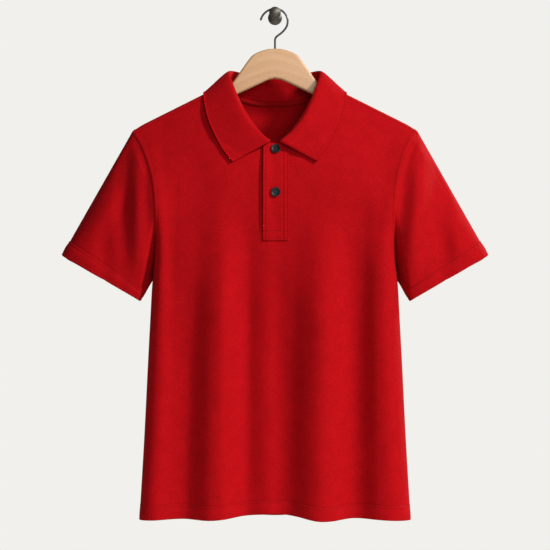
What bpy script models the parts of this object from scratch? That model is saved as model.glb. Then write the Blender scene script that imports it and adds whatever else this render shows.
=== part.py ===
"""Short-sleeved polo shirt, hanging on a wooden hanger whose hook sits on a wall peg.

Metres, +Z up. The shirt faces -Y and the wall is the plane Y = 0. The origin is the centre of the
peg's back face. Everything that hangs is drawn in the shirt's own frame, where X = 0 is the centre
front, Y = 0 the plane of the hanger and Z = 0 the height of the neck, and is placed by one empty.
Left and right are the wearer's, so the left sleeve is at +X.

The front and back are two walls of one hollow form. front_depth_at and back_depth_at give how far
each lies from the hanger's plane at any place, folds included, and every other piece of cloth is
drawn from those two, moved out or in.
"""

import math
from collections import namedtuple

import bmesh
import bpy
from mathutils import Vector

# ---------------------------------------------------------------- driving dimensions
HOOK_FROM_WALL = 0.055  # the hanger's plane, in front of the wall
NECK_BELOW_PEG = 0.110  # the neck's height, under the peg's axis

NECK_HALF_WIDTH = 0.078
SHOULDER_HALF_WIDTH = 0.226
SHOULDER_SLOPE = 0.50  # fall for each metre outwards
SHOULDER_ROUNDING = 0.008  # how softly the shoulder line leaves the neck
ARMPIT_Z = -0.246
SIDE_HEM_Z = -0.687

CLOTH = 0.0016  # wall of one layer of pique knit
HEM_CLOTH = 0.0024  # wall where a hem is turned up
HEM_STEP = 0.0007  # how far a turned hem stands proud
BODY_HEM = 0.021
SLEEVE_HEM = 0.025
COLLAR_CLOTH = 0.0020
BAND_CLOTH = 0.0018
TAPE_CLOTH = 0.0010
SEAM_GAP = 0.0004  # between pieces that are sewn together
NECK_SEAM_GAP = 0.0012
LAYER_GAP = 0.0005  # between a piece and the panel that it lies on

RIDGE_RADIUS = 0.0100  # the shoulder's roundness over the hanger
FRONT_RISE = 0.170  # how far under the shoulder line the front reaches its full depth
BACK_RISE = 0.050
SECTION_POWER = 2.5  # squareness of the body's cross-section: 2 is an ellipse

BAND_LEFT_X = 0.0210  # the buttonhole band's stitched edge, on the wearer's left
BAND_RIGHT_X = -0.0185  # its free edge, on the wearer's right
BAND_BOTTOM_Z = -0.249
SLIT_BOTTOM_Z = -0.243
SLIT_HALF_SHARE = 0.05  # the slit's half width, as a share of the half panel
UNDER_BAND_CLEARANCE = 0.002  # beside the slit, as a share of the half panel

BUTTON_RADIUS = 0.0075
BUTTON_X = 0.0010
BUTTON_HEIGHTS = {"button_upper": -0.108, "button_lower": -0.1745}

TAPE_DEPTH = 0.007
TAPE_HALF_WIDTH = 0.056

HANGER_THICKNESS = 0.0100
HANGER_HALF_LENGTH = 0.190
HANGER_EDGE = 0.0040
HANGER_UNDER_CLOTH = 0.0024
WIRE_RADIUS = 0.0016
HOOK_RADIUS = 0.0200
WIRE_SOCKET_DEPTH = 0.014
WIRE_CLEARANCE = 0.0004
PEG_NECK_RADIUS = 0.0058
PEG_CLEARANCE = 0.0003

RED_PIQUE = ("red_pique", (0.52, 0.006, 0.010, 1), 0.85, 0.0)
RED_RIB = ("red_rib", (0.50, 0.006, 0.010, 1), 0.85, 0.0)
BUTTON_RESIN = ("button_resin", (0.012, 0.014, 0.018, 1), 0.30, 0.0)
BEECH = ("beech", (0.62, 0.36, 0.17, 1), 0.50, 0.0)
DARK_STEEL = ("dark_steel", (0.05, 0.05, 0.05, 1), 0.40, 1.0)
PEWTER = ("pewter", (0.10, 0.095, 0.09, 1), 0.45, 1.0)

# The body's sections. Above the armpit the half width is that of the form, which the armhole cuts.
Section = namedtuple("Section", "z half_width front back")
SECTIONS = (
    Section(0.020, 0.2750, 0.058, 0.043),
    Section(-0.078, 0.2600, 0.062, 0.045),
    Section(-0.126, 0.2400, 0.065, 0.046),
    Section(-0.190, 0.2090, 0.067, 0.047),
    Section(ARMPIT_Z, 0.1900, 0.066, 0.047),
    Section(-0.334, 0.1940, 0.062, 0.045),
    Section(-0.435, 0.1995, 0.055, 0.042),
    Section(-0.562, 0.2060, 0.049, 0.039),
    Section(SIDE_HEM_Z, 0.2135, 0.045, 0.037),
)

Place = namedtuple("Place", "x z")
FRONT_NECKLINE = (
    Place(0.000, -0.0985),
    Place(0.012, -0.0965),
    Place(0.030, -0.0860),
    Place(0.0525, -0.0610),
    Place(0.0685, -0.0350),
    Place(0.0765, -0.0140),
)
BACK_NECKLINE = (
    Place(0.000, -0.0300),
    Place(0.030, -0.0285),
    Place(0.058, -0.0205),
    Place(0.073, -0.0105),
)
FRONT_ARMHOLE = (
    Place(0.212, -0.1000),
    Place(0.2005, -0.1270),
    Place(0.1915, -0.1570),
    Place(0.1875, -0.1900),
    Place(0.1868, -0.2230),
)
BACK_ARMHOLE = (
    Place(0.216, -0.1000),
    Place(0.208, -0.1270),
    Place(0.201, -0.1570),
    Place(0.195, -0.1900),
    Place(0.1905, -0.2230),
)
# The hem's height across the body: it hangs lower at the sides and on the folds' crests.
FRONT_HEM = (
    Place(-0.2135, SIDE_HEM_Z),
    Place(-0.150, -0.6845),
    Place(-0.100, -0.6850),
    Place(-0.050, -0.6800),
    Place(0.000, -0.6770),
    Place(0.035, -0.6800),
    Place(0.072, -0.6860),
    Place(0.130, -0.6835),
    Place(0.2135, SIDE_HEM_Z),
)
BACK_HEM = (
    Place(-0.2135, SIDE_HEM_Z),
    Place(-0.120, -0.6850),
    Place(0.000, -0.6890),
    Place(0.110, -0.6845),
    Place(0.2135, SIDE_HEM_Z),
)

# How the panels are laid out in rows and columns.
NECK_SHARE = 0.36  # the share of a panel's top edge that is neckline, and the rest is shoulder
ARMHOLE_SHARE = 0.30  # the share of a panel's side that is armhole, and the rest is side seam
RIDGE_ROWS = (0.0, 0.0035, 0.0090, 0.0180)  # close rows, where the cloth turns over the hanger
PANEL_ROWS_ABOVE = 8  # rows from the neckline to the end of the slit
HEM_ROWS = 2

# Folds: a crest stands out where the height is positive, and a trough sinks where it is negative.
# Each runs from top_x at its top to hem_x at the hem, fades in below top_z and is full at full_z.
Fold = namedtuple("Fold", "name top_x hem_x top_z full_z top_half hem_half height")
FRONT_FOLDS = (
    Fold("right side crest", -0.170, -0.186, -0.200, -0.420, 0.026, 0.034, 0.006),
    Fold("right trough", -0.134, -0.148, -0.230, -0.520, 0.036, 0.046, -0.011),
    Fold("right crest", -0.078, -0.098, -0.150, -0.560, 0.046, 0.054, 0.015),
    Fold("middle trough", -0.012, 0.004, -0.250, -0.600, 0.056, 0.072, -0.016),
    Fold("left crest", 0.070, 0.070, -0.150, -0.540, 0.046, 0.052, 0.016),
    Fold("left trough", 0.124, 0.128, -0.200, -0.520, 0.036, 0.046, -0.012),
    Fold("left side crest", 0.158, 0.198, -0.220, -0.500, 0.028, 0.032, 0.009),
    Fold("right chest hollow", -0.120, -0.150, -0.090, -0.190, 0.050, 0.030, -0.003),
)
BACK_FOLDS = (
    Fold("left trough", 0.100, 0.120, -0.180, -0.560, 0.050, 0.050, -0.010),
    Fold("left crest", 0.060, 0.062, -0.160, -0.560, 0.040, 0.046, 0.006),
    Fold("middle trough", 0.006, 0.000, -0.220, -0.600, 0.042, 0.052, -0.012),
    Fold("right crest", -0.052, -0.060, -0.160, -0.560, 0.040, 0.046, 0.006),
    Fold("right trough", -0.108, -0.124, -0.200, -0.560, 0.050, 0.050, -0.011),
)
FOLD_FADE_Z = {"right chest hollow": -0.300}  # where a fold ends

# The cuff, from its outer corner round the front to the underarm seam. The back mirrors it.
CuffPoint = namedtuple("CuffPoint", "share x depth z")
CUFF = (
    CuffPoint(0.00, 0.3365, 0.0000, -0.2710),
    CuffPoint(0.05, 0.3320, 0.0105, -0.2745),
    CuffPoint(0.14, 0.3190, 0.0210, -0.2815),
    CuffPoint(0.30, 0.2905, 0.0320, -0.2980),
    CuffPoint(0.48, 0.2570, 0.0370, -0.3170),
    CuffPoint(0.62, 0.2320, 0.0355, -0.3315),
    CuffPoint(0.73, 0.2150, 0.0290, -0.3410),
    CuffPoint(0.79, 0.2095, 0.0230, -0.3340),
    CuffPoint(0.89, 0.2035, 0.0120, -0.3180),
    CuffPoint(1.00, 0.1985, 0.0000, -0.3040),
)

SleeveFold = namedtuple("SleeveFold", "around height half")
SLEEVE_FOLDS = (
    SleeveFold(0.40, 0.0050, 0.16),  # crest that falls from the shoulder tip
    SleeveFold(0.60, -0.0060, 0.14),  # trough between it and the underarm fold
)
SLEEVE_SWELL = 0.006  # how far the sleeve's middle stands out from a straight line

# The collar, from the centre back (share 0) to the centre front (share 1): the top of its fold
# and its outer edge. The other half mirrors it.
CollarStation = namedtuple(
    "CollarStation", "share fold_x fold_y fold_z edge_x edge_y edge_z lift roll"
)
COLLAR = (
    CollarStation(0.00, 0.0000, 0.0400, 0.0140, 0.0000, 0.0460, -0.0440, 0.0010, 0.0050),
    CollarStation(0.14, 0.0300, 0.0370, 0.0150, 0.0440, 0.0440, -0.0425, 0.0015, 0.0050),
    CollarStation(0.28, 0.0550, 0.0270, 0.0195, 0.0830, 0.0350, -0.0360, 0.0020, 0.0055),
    CollarStation(0.40, 0.0690, 0.0130, 0.0210, 0.1060, 0.0180, -0.0190, 0.0025, 0.0060),
    CollarStation(0.50, 0.0735, 0.0000, 0.0175, 0.1130, -0.0030, -0.0125, 0.0025, 0.0060),
    CollarStation(0.60, 0.0710, -0.0140, 0.0060, 0.1110, -0.0260, -0.0350, 0.0025, 0.0060),
    CollarStation(0.71, 0.0650, -0.0270, -0.0130, 0.1040, -0.0400, -0.0620, 0.0035, 0.0060),
    CollarStation(0.81, 0.0565, -0.0390, -0.0350, 0.0930, -0.0490, -0.0870, 0.0045, 0.0055),
    CollarStation(0.90, 0.0440, -0.0490, -0.0580, 0.0810, -0.0555, -0.1085, 0.0055, 0.0050),
    CollarStation(0.95, 0.0270, -0.0560, -0.0790, 0.0735, -0.0590, -0.1185, 0.0058, 0.0045),
    CollarStation(1.00, 0.0075, -0.0610, -0.0960, 0.0660, -0.0610, -0.1275, 0.0060, 0.0040),
)
HIGH_POINT_SHARE = 0.40  # where the collar's seam passes over the shoulder
COLLAR_END_SHARE = 0.965  # the collar stops short of the centre front
STAND_BULGE = 0.45  # how much of its height the stand rises straight before it leans
FALL_STRAIGHT = 0.45  # how much of the fall lies straight along its edge

# The hanger's outline on one side, top edge then bottom edge.
HANGER_TOP = (
    Place(0.000, 0.0545),
    Place(0.010, 0.0540),
    Place(0.020, 0.0515),
    Place(0.029, 0.0480),
    Place(0.0355, 0.0440),
    Place(0.0405, 0.0385),
    Place(0.0520, 0.0225),
    Place(0.0620, 0.0080),
    Place(0.0675, 0.0005),
    Place(0.0730, -0.0068),
)
HANGER_ARM_SLOPE = 0.466
HANGER_APEX_Z = 0.0100
HANGER_APEX_FILL = 0.0030  # how far the inner corner is filled

# The peg's turned outline: distance from the wall, and radius.
PegRing = namedtuple("PegRing", "out radius")
PEG_PROFILE = (
    PegRing(0.0770, 0.0),
    PegRing(0.0765, 0.0035),
    PegRing(0.0745, 0.0068),
    PegRing(0.0710, 0.0088),
    PegRing(0.0660, 0.0093),
    PegRing(0.0615, 0.0088),
    PegRing(0.0585, PEG_NECK_RADIUS),
    PegRing(0.0180, PEG_NECK_RADIUS),
    PegRing(0.0120, 0.0085),
    PegRing(0.0080, 0.0108),
    PegRing(0.0040, 0.0114),
    PegRing(0.0000, 0.0110),
    PegRing(0.0000, 0.0),
)

BUTTON_PROFILE = (  # radius, height above the band
    (0.0, 0.0018),
    (0.0046, 0.0018),
    (0.0055, 0.0028),
    (0.0067, 0.0031),
    (BUTTON_RADIUS, 0.0022),
    (0.0073, 0.0008),
    (0.0060, 0.0),
    (0.0, 0.0),
)
BUTTON_HOLE_RADIUS = 0.0009
BUTTON_HOLE_FROM_CENTRE = 0.0021

# ---------------------------------------------------------------- curves and shares


def smooth(share):
    """0 to 1 with level ends."""
    share = min(max(share, 0.0), 1.0)
    return share * share * (3 - 2 * share)


def spline(keys, values, at):
    """A smooth curve through values at rising keys, with the slope at a key that of its neighbours."""
    at = min(max(at, keys[0]), keys[-1])
    i = next(k for k in range(1, len(keys)) if at <= keys[k] or k == len(keys) - 1)

    def slope(k):
        low, high = max(k - 1, 0), min(k + 1, len(keys) - 1)
        return (values[high] - values[low]) / (keys[high] - keys[low])

    width = keys[i] - keys[i - 1]
    t = (at - keys[i - 1]) / width
    return (
        values[i - 1] * (2 * t**3 - 3 * t**2 + 1)
        + slope(i - 1) * width * (t**3 - 2 * t**2 + t)
        + values[i] * (3 * t**2 - 2 * t**3)
        + slope(i) * width * (t**3 - t**2)
    )


def column(rows, key, value, at):
    """The value column of a table of named rows, read smoothly at a place in its key column."""
    ordered = sorted(rows, key=lambda row: getattr(row, key))
    keys = [getattr(row, key) for row in ordered]
    return spline(keys, [getattr(row, value) for row in ordered], at)


def along(places, share):
    """The point a share of the way along a curve through the places, as (x, z)."""
    lengths = [0.0]
    for a, b in zip(places, places[1:]):
        lengths.append(lengths[-1] + math.hypot(b.x - a.x, b.z - a.z))
    at = share * lengths[-1]
    return Place(spline(lengths, [p.x for p in places], at), spline(lengths, [p.z for p in places], at))


# ---------------------------------------------------------------- the body's form


def shoulder_z(x):
    """Height of the shoulder line, which falls away from the neck and rounds off at the tip."""
    out = (abs(x) - NECK_HALF_WIDTH) / SHOULDER_ROUNDING
    fall = SHOULDER_SLOPE * SHOULDER_ROUNDING * math.log1p(math.exp(min(out, 60)))
    tip = max(abs(x) - 0.205, 0.0) / (SHOULDER_HALF_WIDTH - 0.205)
    return -fall - 0.0035 * tip * tip


def half_width(z):
    return column(SECTIONS, "z", "half_width", z)


def section_share(x, z):
    """How much of its full depth the body has at x: 1 in the middle and 0 at the side seam."""
    out = min(abs(x) / half_width(z), 1.0)
    return (1 - out**SECTION_POWER) ** (1 / SECTION_POWER)


def fold_height(folds, x, z):
    """The sum of the folds at a place."""
    total = 0.0
    for fold in folds:
        down = (fold.top_z - z) / (fold.top_z - SIDE_HEM_Z)
        if down <= 0:
            continue
        centre = fold.top_x + (fold.hem_x - fold.top_x) * down
        half = fold.top_half + (fold.hem_half - fold.top_half) * down
        across = abs(x - centre) / half
        if across >= 1:
            continue
        share = smooth((fold.top_z - z) / (fold.top_z - fold.full_z))
        if fold.name in FOLD_FADE_Z:
            share *= 1 - smooth((fold.full_z - z) / (fold.full_z - FOLD_FADE_Z[fold.name]))
        total += fold.height * share * math.cos(across * math.pi / 2) ** 2
    return total


def depth_at(x, z, side, rise, folds):
    """How far one wall lies from the hanger's plane."""
    under = max(shoulder_z(x) - z, 0.0)
    over_hanger = RIDGE_RADIUS * math.sqrt(1 - (1 - min(under / RIDGE_RADIUS, 1)) ** 2)
    full = column(SECTIONS, "z", side, z)
    swell = (full - RIDGE_RADIUS) * math.sin(min(under / rise, 1) * math.pi / 2)
    return section_share(x, z) * (over_hanger + swell + fold_height(folds, x, z))


def front_depth_at(x, z):
    return depth_at(x, z, "front", FRONT_RISE, FRONT_FOLDS)


def back_depth_at(x, z):
    return depth_at(x, z, "back", BACK_RISE, BACK_FOLDS)


# ---------------------------------------------------------------- one half of a panel
class PanelCut:
    """The outline of half a panel, and the place of any point in it.

    across runs from the centre line (0) to the armhole and side seam (1), and down from the
    neckline and shoulder (0) to the hem (1).
    """

    def __init__(self, neckline, armhole, hem):
        high_point = Place(NECK_HALF_WIDTH, shoulder_z(NECK_HALF_WIDTH))
        tip = Place(SHOULDER_HALF_WIDTH, shoulder_z(SHOULDER_HALF_WIDTH))
        armpit = Place(half_width(ARMPIT_Z), ARMPIT_Z)
        self.neckline = (*neckline, high_point)
        self.armhole = (tip, *armhole, armpit)
        self.hem = hem

    def top(self, across):
        if across <= NECK_SHARE:
            return along(self.neckline, across / NECK_SHARE)
        out = (across - NECK_SHARE) / (1 - NECK_SHARE)
        x = NECK_HALF_WIDTH + (SHOULDER_HALF_WIDTH - NECK_HALF_WIDTH) * out
        return Place(x, shoulder_z(x))

    def bottom(self, across, sign):
        x = half_width(SIDE_HEM_Z) * math.sin(across * math.pi / 2)
        return Place(x, column(self.hem, "x", "z", sign * x))

    def side(self, down):
        if down <= ARMHOLE_SHARE:
            return along(self.armhole, down / ARMHOLE_SHARE)
        z = ARMPIT_Z + (SIDE_HEM_Z - ARMPIT_Z) * (down - ARMHOLE_SHARE) / (1 - ARMHOLE_SHARE)
        return Place(half_width(z), z)

    def place(self, across, down, sign=1):
        """A point of the half panel as (x, z), by a patch between its four edges."""
        high = (1 - down) ** 2
        top, bottom, side = self.top(across), self.bottom(across, sign), self.side(down)
        middle_z = self.neckline[0].z + (self.bottom(0, sign).z - self.neckline[0].z) * down
        corners_x = across * (high * self.top(1).x + (1 - high) * self.bottom(1, sign).x)
        corners_z = (1 - across) * (high * self.top(0).z + (1 - high) * self.bottom(0, sign).z)
        corners_z += across * (high * self.top(1).z + (1 - high) * self.bottom(1, sign).z)
        x = high * top.x + (1 - high) * bottom.x + across * side.x - corners_x
        z = high * top.z + (1 - high) * bottom.z - corners_z
        return Place(x, z + (1 - across) * middle_z + across * side.z)


FRONT_CUT = PanelCut(FRONT_NECKLINE, FRONT_ARMHOLE, FRONT_HEM)
BACK_CUT = PanelCut(BACK_NECKLINE, BACK_ARMHOLE, BACK_HEM)


def front_point(x, z, out=0.0):
    """A point on the front's outer face, moved out along the face by out."""
    return on_wall(x, z, out, front_depth_at, -1)


def back_point(x, z, out=0.0):
    return on_wall(x, z, out, back_depth_at, 1)


def clear_depth(x, z, clearance, toward):
    """How far from the hanger's plane a thing must lie to clear the body's outside."""
    raised = shoulder_z(x) + 1.12 * clearance - z
    if raised <= 0:
        return 0.0
    turn = RIDGE_RADIUS + clearance
    over = turn * math.sqrt(1 - (1 - min(raised / turn, 1)) ** 2)
    if z > shoulder_z(x):
        return over
    return max(over, (front_depth_at if toward < 0 else back_depth_at)(x, z) + clearance)


def on_wall(x, z, out, depth_of, toward):
    depth = depth_of(x, z) + SEAM_GAP / 2
    point = Vector((x, toward * depth, z))
    if not out:
        return point
    step = 0.0005
    slope_x = (depth_of(x + step, z) - depth_of(x - step, z)) / (2 * step)
    slope_z = (depth_of(x, z + step) - depth_of(x, z - step)) / (2 * step)
    normal = Vector((-slope_x, toward, -slope_z)).normalized()
    return point + normal * out


# ---------------------------------------------------------------- making objects


def new_object(name, mesh, finish, parent):
    obj = bpy.data.objects.new(name, mesh)
    SHIRT.objects.link(obj)
    obj.parent = parent
    label, colour, roughness, metallic = finish
    material = bpy.data.materials.get(label) or bpy.data.materials.new(label)
    material.use_nodes = True
    shader = material.node_tree.nodes["Principled BSDF"]
    shader.inputs["Base Color"].default_value = colour
    shader.inputs["Roughness"].default_value = roughness
    shader.inputs["Metallic"].default_value = metallic
    mesh.materials.append(material)
    return obj


def sheet(name, rows, wall, finish, closed=False, hem_rows=0, skip=None, seam_in=None, side=0):
    """A wall of cloth whose outer face is the grid of points rows, each row a list of points.

    closed joins each row's end to its start. The last hem_rows rows are a turned hem. skip says
    which cells are left out, by row and column. seam_in gives the direction to the inner face at
    the points of a seam, and side keeps the wall on one side of the hanger's plane.
    """
    shape = bmesh.new()
    grid = [[shape.verts.new(point) for point in row] for row in rows]
    width = len(rows[0])
    for r in range(len(rows) - 1):
        for c in range(width if closed else width - 1):
            if skip and skip(r, c):
                continue
            after = (c + 1) % width
            shape.faces.new((grid[r][c], grid[r + 1][c], grid[r + 1][after], grid[r][after]))
    shape.normal_update()
    outer = list(shape.faces)
    rim = [loop for face in outer for loop in face.loops if len(loop.edge.link_faces) == 1]
    rim = [(loop.vert, loop.link_loop_next.vert) for loop in rim]
    inner = {}
    for r, row in enumerate(grid):
        thickness = HEM_CLOTH if r >= len(grid) - hem_rows else wall
        for c, vert in enumerate(row):
            if not vert.link_faces:
                continue
            inward = seam_in.get((r, c)) if seam_in else None
            inward = inward or -vert.normal * vert.calc_shell_factor()
            point = vert.co + inward * thickness
            if side:
                point.y = side * max(side * point.y, SEAM_GAP / 2)
            inner[vert] = shape.verts.new(point)
    for face in outer:
        shape.faces.new([inner[vert] for vert in reversed(face.verts)])
    for start, end in rim:
        shape.faces.new((end, start, inner[start], inner[end]))
    for vert in [vert for vert in shape.verts if not vert.link_faces]:
        shape.verts.remove(vert)
    mesh = bpy.data.meshes.new(name)
    shape.to_mesh(mesh)
    shape.free()
    mesh.shade_smooth()
    return new_object(name, mesh, finish, HUNG)


# ---------------------------------------------------------------- cloth pieces
def full_columns(slit_columns, neck_count, shoulder_count):
    """Shares across a whole panel, with the wearer's right half negative.

    A column stands on each edge of the slit, if there is one, and on the neck's highest point.
    """
    start = slit_columns[-1]
    half = [start + (NECK_SHARE - start) * k / neck_count for k in range(1, neck_count + 1)]
    half += [NECK_SHARE + (1 - NECK_SHARE) * k / shoulder_count for k in range(1, shoulder_count + 1)]
    half = [*slit_columns[1:], *half]
    return [-share for share in reversed(half)] + [0.0] + half


def slit_share():
    """How far down the front the slit ends."""
    return (SLIT_BOTTOM_Z - FRONT_CUT.neckline[0].z) / (FRONT_HEM[4].z - FRONT_CUT.neckline[0].z)


def body_rows(upper, middle, lower):
    """Shares from the top edge to the hem, with rows on the slit's end, armpit and hem stitching."""
    slit = slit_share()
    hem = 1 - BODY_HEM / (FRONT_NECKLINE[0].z - SIDE_HEM_Z)
    rows = list(RIDGE_ROWS) + [slit * k / upper for k in range(1, upper)]
    rows += [slit + (ARMHOLE_SHARE - slit) * k / middle for k in range(middle)]
    rows += [ARMHOLE_SHARE + (hem - ARMHOLE_SHARE) * k / lower for k in range(lower + 1)]
    return rows + [hem + 0.004, 1.0]


FRONT_ROWS = body_rows(PANEL_ROWS_ABOVE, 3, 18)
BACK_ROWS = body_rows(PANEL_ROWS_ABOVE, 3, 12)
SEAM_ROWS = [down for down in FRONT_ROWS if down < ARMHOLE_SHARE + 1e-9]


def body_panel(name, cut, toward, columns, rows, skip=None):
    """The front or back of the body, with its turned hem a little proud."""
    point_of = front_point if toward < 0 else back_point
    grid = []
    seam_in = {}
    for r, down in enumerate(rows):
        out = HEM_STEP if r >= len(rows) - HEM_ROWS else 0.0
        line = []
        for share in columns if toward < 0 else columns[::-1]:
            sign = -1 if share < 0 else 1
            place = cut.place(abs(share), down, sign)
            point = point_of(sign * place.x, place.z)
            point.y += toward * out * section_share(place.x, place.z)
            if abs(share) == 1 and down < ARMHOLE_SHARE - 1e-6:
                seam_in[r, len(line)] = armhole_seam(down / ARMHOLE_SHARE, toward, sign)[1]
            line.append(point)
        grid.append(line)
    sheet(name, grid, CLOTH, RED_PIQUE, hem_rows=HEM_ROWS, skip=skip, seam_in=seam_in, side=toward)


def make_body():
    columns = full_columns((0.0, SLIT_HALF_SHARE), 7, 10)
    centre = columns.index(0.0)
    slit_row = FRONT_ROWS.index(slit_share())

    def in_slit(row, cell):
        return row < slit_row and cell in (centre - 1, centre)

    body_panel("front_panel", FRONT_CUT, -1, columns, FRONT_ROWS, in_slit)
    body_panel("back_panel", BACK_CUT, 1, full_columns((0.0,), 5, 8), BACK_ROWS)


def armhole_seam(share, toward, sign):
    """A point of the armhole, from the shoulder tip (0) to the armpit (1), and two ways from it.

    The first leads to the inner face, halfway between those of the body and the sleeve so that
    the two walls don't cross. The second leads out of the body along its cloth.
    """
    cut, depth_of = (FRONT_CUT, front_depth_at) if toward < 0 else (BACK_CUT, back_depth_at)

    def at(across, around):
        place = cut.place(across, around * ARMHOLE_SHARE, sign)
        return on_wall(sign * place.x, place.z, 0, depth_of, toward)

    edge = at(1.0, share)
    seam = (at(1.0, min(share + 0.03, 1)) - at(1.0, max(share - 0.03, 0))).normalized()
    outwards = (edge - at(0.96, share)).normalized()
    if share == 1:
        return edge, Vector((0, 0, 1)), outwards
    sleeve = cuff_point(share, toward, sign, 0) - edge
    sleeve = (sleeve - seam * sleeve.dot(seam)).normalized()
    body = (outwards - seam * outwards.dot(seam)).normalized()
    face = seam.cross(body) * -sign * toward
    turn = sleeve - body
    if turn.length > 0.2:
        face = turn if turn.dot(face) > 0 else -turn
    return edge, -face.normalized(), outwards


def armhole_point(share, toward, sign):
    edge, _, outwards = armhole_seam(share, toward, sign)
    return edge + outwards * SEAM_GAP * 2


def cuff_point(share, toward, sign, hem_step):
    x = column(CUFF, "share", "x", share)
    z = column(CUFF, "share", "z", share)
    depth = column(CUFF, "share", "depth", share)
    middle = Vector((0.268, 0, -0.312))
    point = Vector((x, 0, z))
    point += (point - middle).normalized() * hem_step
    return Vector((sign * point.x, toward * (depth + hem_step * min(depth / 0.02, 1)), point.z))


def sleeve_point(around, down, toward, sign, out):
    """A point of the sleeve: around from its top fold (0) to the underarm seam (1)."""
    top = armhole_point(around, toward, sign)
    low = cuff_point(around, toward, sign, out)
    point = top.lerp(low, down)
    body = math.sin(math.pi * min(down, 1.0)) * math.sin(math.pi * around)
    swell = SLEEVE_SWELL * body
    for fold in SLEEVE_FOLDS:
        across = abs(around - fold.around) / fold.half
        if across < 1:
            swell += fold.height * math.cos(across * math.pi / 2) ** 2 * math.sin(math.pi * down)
    point.y += toward * swell
    return point


def make_sleeve(name, sign):
    length_count = 9
    slant = (Vector((CUFF[0].x, 0, CUFF[0].z)) - Vector((0.226, 0, -0.078))).length
    hem = 1 - SLEEVE_HEM / slant
    rows = [hem * k / length_count for k in range(length_count + 1)] + [hem + 0.012, 1.0]
    around = [down / ARMHOLE_SHARE for down in SEAM_ROWS]
    ring = [(share, -1) for share in around] + [(share, 1) for share in around[-2:0:-1]]
    ring = ring if sign < 0 else ring[::-1]
    grid = []
    for r, down in enumerate(rows):
        out = HEM_STEP if r >= len(rows) - HEM_ROWS else 0.0
        line = [sleeve_point(share, down, toward, sign, out) for share, toward in ring]
        for point, (share, _) in zip(line, ring):
            if share in (0, 1):
                point.y = 0.0
        grid.append(line)
    seam_in = {(0, c): armhole_seam(share, toward, sign)[1] for c, (share, toward) in enumerate(ring)}
    sheet(name, grid, CLOTH, RED_PIQUE, closed=True, hem_rows=HEM_ROWS, seam_in=seam_in)


def neck_seam(share, sign):
    """The collar's seam from the centre back (0) over the shoulder to the centre front (1)."""
    if share <= HIGH_POINT_SHARE:
        line, depth_of, toward, at = BACK_CUT.neckline, back_depth_at, 1, share / HIGH_POINT_SHARE
    else:
        line, depth_of, toward = FRONT_CUT.neckline, front_depth_at, -1
        at = (1 - share) / (1 - HIGH_POINT_SHARE)
    place = along(line, at)
    before, after = along(line, max(at - 0.02, 0)), along(line, min(at + 0.02, 1))
    edge = on_wall(sign * place.x, place.z, -CLOTH / 2, depth_of, toward)
    edge.y = toward * max(toward * edge.y, 0.0)
    into_neck = Vector((-sign * (after.z - before.z), 0, after.x - before.x)).normalized()
    return edge + into_neck * (COLLAR_CLOTH + NECK_SEAM_GAP)


def bezier(a, b, c, d, t):
    s = 1 - t
    return a * s**3 + b * 3 * s * s * t + c * 3 * s * t * t + d * t**3


def collar_profile(share, sign, stand_count, fall_count):
    """Points across the collar: up the stand, over the fold and down to the outer edge."""
    seam = neck_seam(share * COLLAR_END_SHARE, sign)
    fold = Vector([column(COLLAR, "share", "fold_" + axis, share) for axis in "xyz"])
    edge = Vector([column(COLLAR, "share", "edge_" + axis, share) for axis in "xyz"])
    fold.x *= sign
    edge.x *= sign
    roll = column(COLLAR, "share", "roll", share)
    outwards = Vector((fold.x, fold.y, 0)).normalized() * roll
    height = (fold - seam).length
    rise = seam + Vector((0, 0, height * STAND_BULGE))
    lie = edge + (fold - edge) * FALL_STRAIGHT
    points = [bezier(seam, rise, fold - outwards, fold, k / stand_count) for k in range(stand_count)]
    falls = [bezier(fold, fold + outwards, lie, edge, k / fall_count) for k in range(fall_count + 1)]
    lift = column(COLLAR, "share", "lift", share)
    for k, point in enumerate(falls):
        clearance = COLLAR_CLOTH + LAYER_GAP + lift * k / fall_count
        toward = 1 if point.y > 0 else -1
        point.y = toward * max(abs(point.y), clear_depth(point.x, point.z, clearance, toward))
    return points + falls


def make_collar():
    half_count, stand_count, fall_count = 19, 4, 7
    stations = [k / half_count for k in range(-half_count, half_count + 1)]
    grid = [
        collar_profile(abs(a), -1 if a < 0 else 1, stand_count, fall_count) for a in stations
    ]
    sheet("collar", grid, COLLAR_CLOTH, RED_RIB)


def make_placket_under():
    """The button band, which fills the slit and has the front panel's own rows."""
    end = FRONT_ROWS.index(slit_share())
    rows = [*FRONT_ROWS[:end], slit_share() - 0.003]
    half = SLIT_HALF_SHARE - UNDER_BAND_CLEARANCE
    grid = []
    for down in rows:
        places = [(sign, FRONT_CUT.place(abs(half * sign), down, sign)) for sign in (-1, 0, 1)]
        grid.append([front_point(sign * place.x, place.z) for sign, place in places])
    sheet("placket_under", grid, CLOTH, RED_PIQUE)


def make_placket_top():
    """The buttonhole band, which lies on the front panel."""
    across_count, down_count = 4, 14
    grid = []
    for r in range(down_count + 1):
        line = []
        for c in range(across_count + 1):
            x = BAND_RIGHT_X + (BAND_LEFT_X - BAND_RIGHT_X) * c / across_count
            top = column(FRONT_NECKLINE, "x", "z", abs(x))
            z = top + (BAND_BOTTOM_Z - top) * r / down_count
            line.append(front_point(x, z, LAYER_GAP + BAND_CLOTH))
        grid.append(line)
    sheet("placket_top", grid, BAND_CLOTH, RED_PIQUE)


def make_neck_tape():
    """The tape that covers the back neck seam, inside the back panel."""
    across_count, down_count = 20, 1
    grid = []
    for r in range(down_count + 1):
        line = []
        for c in range(across_count + 1):
            x = TAPE_HALF_WIDTH * (2 * c / across_count - 1)
            top = column(BACK_CUT.neckline, "x", "z", abs(x))
            line.append(back_point(x, top - 0.0005 - TAPE_DEPTH * r / down_count, -CLOTH - 2 * LAYER_GAP))
        grid.append(line[::-1])
    sheet("neck_tape", grid, TAPE_CLOTH, RED_RIB)


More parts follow.
